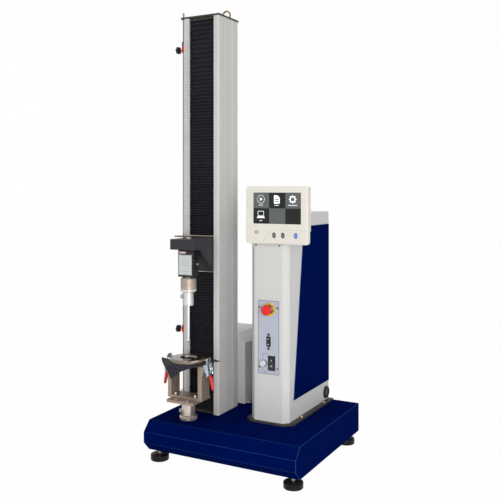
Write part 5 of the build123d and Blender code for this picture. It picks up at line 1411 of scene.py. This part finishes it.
class TESTER_OT_prints(bpy.types.Operator):
    """Print the control panel, the switches, the load cell and the display's front."""

    bl_idname = "tester.prints"
    bl_label = "Panel prints"

    # Foot and top of each print over the face behind it; on plate and keys the top is the print height.
    on_plate, on_key, on_head, on_ring, on_rules = -0.05, -0.6, (-0.3, 0.06), (-0.05, 0.1), (0.2, 0.42)
    on_washer, on_cell, on_strip = (-0.1, 0.7), (-0.1, 0.35), (-0.1, 0.3)
    on_ledge, on_port, on_lid = (-0.1, 0.3), (-0.1, 0.5), (-0.1, 0.2)
    border_gap, border_radius, border_width = 2.0, 3.0, 1.2
    # Levels are measured from the deck.
    switch_frame = (
        ((93.5, 172.5), (74.5, 172.5), (74.5, 184.5)),
        ((74.5, 216.5), (74.5, 232.0), (97.5, 232.0)),
        ((118.5, 232.0), (125.5, 227.0)),
        ((125.5, 176.5), (116.5, 172.5)),
    )
    frame_width = 1.1
    arrow_gap, arrow = 15.0, ((0, 0), (8, 6), (3, 6), (3, 10), (-3, 10), (-3, 6), (-8, 6))
    dial_marks, dial_start, dial_step, dial_reach, dial_width = 11, 240, 30, (12.2, 14.6), 0.6
    # Outer and inner radius of the dark ring of painted shade round the knob's foot.
    dial_ring = (11.4, 9.6)
    jog_sink, jog_tip, jog_wing, jog_foot, jog_width = 0.55, 11.0, 2.6, 3.2, 1.2
    power_sink, on_line, on_width, off_drop, off_ring = 0.9, (7.0, 13.5), 1.8, 10.5, (3.5, 1.9)
    turn_radius, turn_arc, turn_width = 9.2, (20, 88, 12), 0.9
    turn_tip, turn_wing, turn_wings = 100, 86, (11.0, 7.4)
    dash_radius, dash_arc, dash_width, dashes = 19.4, (4, 18, 5), 1.5, 12
    ring_height, washer = 2.0, (16.4, 12.6)
    cell_levels, cell_edges, cell_radius = (490.0, 558.0), (3.0, 55.0), 1.5
    rim_gap, rim_radius, rule_width = 4, 1.0, 0.5
    cell_rules = ((15.0, 19.0), (7.0, 17.0), (-1.0, 19.0), (-21.0, 17.0))
    cell_strip, strip_place = (26.0, 6.5, 0.8), (15.0, 565.5)
    ledge = ((89.0, 604.0), (113.5, 640.5), (118.6, 645.5), (125.0, 647.0), (246.0, 647.0))
    ledge_width = 0.7
    port, port_rim, port_lid = (67.0, 638.0), (12.6, 9.4, 2.6), (9.2, 6.2, 1.4)
    tick, tick_width = 1.7, 0.8

    def execute(self, context):
        colours = context.scene.tester_colours
        high = context.scene.tester_sizes.print_height
        ink = coat("dark_ink", colours)
        white = coat("white_ink", colours)
        self.panel_lines(high, ink)
        self.key_marks(high, white)
        self.stop_marks(colours, ink)
        self.cell_plates(colours, ink)
        self.display_marks(colours, white)
        return {"FINISHED"}

    def panel_lines(self, high, ink):
        """Border, the frame round the power switch and speed knob, arrows, dial marks, and a dark ring of
        painted shade round the knob's foot.
        """
        low = self.on_plate
        width, _, height = PANEL_HIGH - PANEL_LOW - self.border_gap
        outline = rounded_box(width, height, self.border_radius, middle_mm("control_panel")[[0, 2]])
        shapes = [stroke(outline, self.border_width, low, high, closed=True)]
        for path in self.switch_frame:
            shapes.append(stroke([(x, DECK + z) for x, z in path], self.frame_width, low, high))
        rocker_low, rocker_high = box_mm("updown_rocker")
        middle = middle_mm("updown_rocker")[0]
        tips = ((rocker_high[2] + self.arrow_gap, 1), (rocker_low[2] - self.arrow_gap, -1))
        for tip, direction in tips:
            outline = [(middle + side, tip - direction * back) for side, back in self.arrow]
            shapes.append(slab(outline, low, high))
        knob = middle_mm("speed_knob")[[0, 2]]
        for step in range(self.dial_marks):
            line = [knob + ray(self.dial_start - self.dial_step * step) * reach for reach in self.dial_reach]
            shapes.append(stroke(line, self.dial_width, low, high))
        # A dark ring round the foot of the knob: painted shade.
        outer, inner = (circle(radius, knob) for radius in self.dial_ring)
        shapes.append(ring_slab(outer, inner, low, high))
        add_print("panel_print", shapes, PANEL_LOW[1], "machine", ink)

    def key_marks(self, high, white):
        """Arrows on the travel key, and the ON and OFF signs on the power key."""
        low = self.on_key
        face = box_mm("updown_rocker")[0][1] + self.jog_sink
        across, _, up = middle_mm("updown_rocker")
        shapes = []
        for direction in (-1, 1):
            tip = up + direction * self.jog_tip
            foot = tip - direction * self.jog_foot
            chevron = [(across - self.jog_wing, foot), (across, tip), (across + self.jog_wing, foot)]
            shapes.append(stroke(chevron, self.jog_width, low, high))
        add_print("jog_marks", shapes, face, "jog_key", white)
        face = box_mm("power_rocker")[0][1] + self.power_sink
        across, _, up = middle_mm("power_rocker")
        line = stroke([(across, up + level) for level in self.on_line], self.on_width, low, high)
        outer, inner = (circle(radius, (across, up - self.off_drop)) for radius in self.off_ring)
        ring = ring_slab(outer, inner, low, high)
        add_print("power_marks", [line, ring], face, "power_key", white)

    def stop_marks(self, colours, ink):
        """Turn arrows on the red head, dark dashes on the yellow ring and a washer inside it."""
        centre = middle_mm("estop_head")[[0, 2]]
        shapes = []
        for third in range(3):
            start = 120 * third
            arc = centre + self.turn_radius * ray(np.linspace(*self.turn_arc) + start)
            shapes.append(stroke(arc, self.turn_width, *self.on_head))
            tip = centre + self.turn_radius * ray(self.turn_tip + start)
            wings = [centre + ray(self.turn_wing + start) * reach for reach in self.turn_wings]
            shapes.append(slab([tip, *wings], *self.on_head))
        head_face = box_mm("estop_head")[0][1]
        add_print("stop_arrows", shapes, head_face, "estop", coat("pale_red_ink", colours))
        ring_face = PANEL_LOW[1] - self.ring_height
        shapes = []
        for step in range(self.dashes):
            arc = centre + self.dash_radius * ray(360 // self.dashes * step + np.linspace(*self.dash_arc))
            shapes.append(stroke(arc, self.dash_width, *self.on_ring))
        add_print("stop_ring_marks", shapes, ring_face, "machine", ink)
        outer, inner = (circle(radius, centre) for radius in self.washer)
        washer = ring_slab(outer, inner, *self.on_washer)
        steel = coat("washer_steel", colours)
        add_print("stop_washer", [washer], ring_face, "machine", steel)

    def cell_plates(self, colours, ink):
        """The blank plate with plain rules and the small plain strip on the load cell."""
        low, _ = box_mm("load_cell")
        left, right = (low[0] + edge for edge in self.cell_edges)
        bottom, top = (DECK + level for level in self.cell_levels)
        middle = ((left + right) / 2, (bottom + top) / 2)
        width, height = right - left, top - bottom
        plate = slab(rounded_box(width, height, self.cell_radius, middle), *self.on_cell)
        film = coat("label_film", colours)
        add_print("cell_plate", [plate], low[1], "crosshead", film)
        rim = rounded_box(width - self.rim_gap, height - self.rim_gap, self.rim_radius, middle)
        rules = [stroke(rim, self.rule_width, *self.on_rules, closed=True)]
        for level, reach in self.cell_rules:
            path = [(middle[0] - reach, middle[1] + level), (middle[0] + reach, middle[1] + level)]
            rules.append(stroke(path, self.rule_width, *self.on_rules))
        add_print("cell_plate_rules", rules, low[1], "crosshead", ink)
        across, up = self.strip_place
        strip = slab(rounded_box(*self.cell_strip, (left + across, DECK + up)), *self.on_strip)
        film = coat("strip_film", colours)
        add_print("cell_strip", [strip], low[1], "crosshead", film)

    def display_marks(self, colours, white):
        """A darker line of painted shade along the ledge round the keys, the small port, and a plain mark on
        each key.
        """
        face = box_mm("display_front")[0][1]
        line = stroke([(x, DECK + z) for x, z in self.ledge], self.ledge_width, *self.on_ledge)
        shadow = coat("ledge_shadow", colours)
        add_print("display_ledge", [line], face, "machine", shadow)
        middle = (self.port[0], DECK + self.port[1])
        outer, inner = (rounded_box(*size, middle) for size in (self.port_rim, self.port_lid))
        rim, lid = ring_slab(outer, inner, *self.on_port), slab(inner, *self.on_lid)
        brown = coat("key_moulding", colours)
        add_print("display_port_rim", [rim], face, "machine", brown)
        add_print("display_port_lid", [lid], face, "machine", shadow)
        for key in ("menu", "back", "start"):
            node = f"{key}_button"
            across, _, up = middle_mm(node)
            tick = [(across - self.tick, up), (across, up - self.tick), (across + self.tick, up + self.tick)]
            mark = stroke(tick, self.tick_width, *self.on_head)
            add_print(f"{node}_mark", [mark], box_mm(node)[0][1], f"{key}_key", white)


class TESTER_OT_screen(bpy.types.Operator):
    """Draw the picture: six tiles and four plain signs."""

    bl_idname = "tester.screen"
    bl_label = "Screen"

    columns = (54.7, 112.8, 171.6, 227.3)
    rows = (768.3, 717.0, 666.2)
    tile_low, tile_high = -0.1, 0.12
    low, high, side_high = 0.1, 0.22, 0.23
    sign_shift, sign_lift = 1.5, 4.0
    play_ring, play_sides = (13.8, 12.8), 48
    gear_teeth, gear_sides, gear_steepness = 8, 96, 2.2
    gear_middle, gear_tooth, gear_hole = 11.6, 1.9, 6.8
    lid, lid_lift, lid_line = (21, 15, 1.5), 4, 1.5
    # Column, row and half the length of the rule under each sign.
    captions = ((0, 0, 8), (1, 0, 8), (2, 0, 16), (0, 1, 5))
    caption_drop, caption_width, caption_high = 19.5, 1.6, 0.2

    def execute(self, context):
        middle, dark, white = (
            coat(name, context.scene.tester_colours) for name in ("tile_mid", "tile_dark", "sign_white")
        )
        for name, parity, finish in (("mid", 0, middle), ("dark", 1, dark)):
            shapes = self.tiles(parity)
            add_print(f"screen_tiles_{name}", shapes, SCREEN_FACE, "machine", finish)
        signs = self.play() + self.document() + self.gear() + self.laptop() + self.caption_bars()
        add_print("screen_signs", signs, SCREEN_FACE, "machine", white)
        return {"FINISHED"}

    def tiles(self, parity):
        """Every second tile of the chequer, as a thin plate."""
        shapes = []
        for column, (left, right) in enumerate(zip(self.columns[:-1], self.columns[1:])):
            for row, edges in enumerate(zip(self.rows[:-1], self.rows[1:])):
                if (column + row) % 2 == parity:
                    top, bottom = (DECK + edge for edge in edges)
                    outline = [(left, bottom), (right, bottom), (right, top), (left, top)]
                    shapes.append(slab(outline, self.tile_low, self.tile_high))
        return shapes

    def centre(self, column, row):
        """Middle of a tile's sign."""
        across = (self.columns[column] + self.columns[column + 1]) / 2 - self.sign_shift
        up = DECK + (self.rows[row] + self.rows[row + 1]) / 2 + self.sign_lift
        return np.array([across, up])

    def plate(self, centre, outline, high=high):
        """A thin plate over an outline about a centre."""
        return slab(centre + np.array(outline, float), self.low, high)

    def bar(self, centre, left, right, bottom, top, high=high):
        """A thin plate between four edges."""
        return self.plate(centre, [(left, bottom), (right, bottom), (right, top), (left, top)], high)

    def play(self):
        """A ring with a triangle in it."""
        centre = self.centre(0, 0)
        outer, inner = (circle(radius, centre, self.play_sides) for radius in self.play_ring)
        triangle = self.plate(centre, [(-3.6, -6.0), (6.8, 0.0), (-3.6, 6.0)])
        return [ring_slab(outer, inner, self.low, self.high), triangle]

    def document(self):
        """A sheet with a folded corner and three dark gaps, built from white bands.

        The two sides stand a little higher than the bands that they cross.
        """
        centre = self.centre(1, 0)
        head = self.plate(centre, [(-10, 13), (2, 13), (2, 4), (11, 4), (11, 1), (-10, 1)])
        bands = [self.bar(centre, -10, 11, bottom, top) for top, bottom in ((-2.0, -5.0), (-8.0, -14.0))]
        edges = ((-10, -6), (7, 11))
        sides = [self.bar(centre, left, right, -8.0, 1.0, self.side_high) for left, right in edges]
        fold = self.plate(centre, [(3.4, 5.4), (11, 5.4), (3.4, 13)])
        return [head, *bands, *sides, fold]

    def gear(self):
        """A ring whose outer edge goes in and out: r = middle + tooth * clip(steepness * cos(n a))."""
        centre = self.centre(2, 0)
        angle = np.arange(self.gear_sides) * TURN / self.gear_sides
        wave = np.clip(np.cos(self.gear_teeth * angle) * self.gear_steepness, -1, 1)
        reach = self.gear_middle + self.gear_tooth * wave
        outer = centre + reach[:, None] * np.column_stack([np.cos(angle), np.sin(angle)])
        inner = circle(self.gear_hole, centre, self.gear_sides)
        return [ring_slab(outer, inner, self.low, self.high)]

    def laptop(self):
        """A screen frame over a wider keyboard."""
        centre = self.centre(0, 1)
        outline = rounded_box(*self.lid, centre + (0, self.lid_lift))
        lid = stroke(outline, self.lid_line, self.low, self.high, closed=True)
        return [lid, self.plate(centre, [(-15, -11), (15, -11), (12, -5.5), (-12, -5.5)])]

    def caption_bars(self):
        """A short rule under each sign, where an instrument has a caption."""
        bars = []
        for column, row, half in self.captions:
            centre = self.centre(column, row) - (0, self.caption_drop)
            path = [centre - (half, 0), centre + (half, 0)]
            bars.append(stroke(path, self.caption_width, self.low, self.caption_high))
        return bars


class TESTER_PT_panel(bpy.types.Panel):
    """Lists the steps that dress the tester."""

    bl_idname = "TESTER_PT_panel"
    bl_label = "Bench tester"
    bl_space_type = "VIEW_3D"
    bl_region_type = "UI"
    bl_category = "Tester"

    def draw(self, context):
        for step in STEPS:
            self.layout.operator(step.bl_idname)
        for group in (context.scene.tester_sizes, context.scene.tester_colours):
            for name in group.__annotations__:
                self.layout.prop(group, name)


STEPS = (
    TESTER_OT_stage,
    TESTER_OT_base,
    TESTER_OT_column,
    TESTER_OT_crosshead,
    TESTER_OT_fixture,
    TESTER_OT_stops,
    TESTER_OT_console,
    TESTER_OT_bellows,
    TESTER_OT_sheet,
    TESTER_OT_screws,
    TESTER_OT_ruler,
    TESTER_OT_prints,
    TESTER_OT_screen,
)
CLASSES = (TesterSizes, TesterColours, *STEPS, TESTER_PT_panel)


def register():
    """Register the classes and hang their properties on the scene."""
    for each in CLASSES:
        bpy.utils.register_class(each)
    bpy.types.Scene.tester_sizes = PointerProperty(type=TesterSizes)
    bpy.types.Scene.tester_colours = PointerProperty(type=TesterColours)


def unregister():
    """Take the properties and classes away again."""
    del bpy.types.Scene.tester_sizes
    del bpy.types.Scene.tester_colours
    for each in reversed(CLASSES):
        bpy.utils.unregister_class(each)


def main():
    """Dress the machine in order."""
    register()
    for step in STEPS:
        group, name = step.bl_idname.split(".")
        getattr(getattr(bpy.ops, group), name)()


if __name__ == "__main__":
    main()
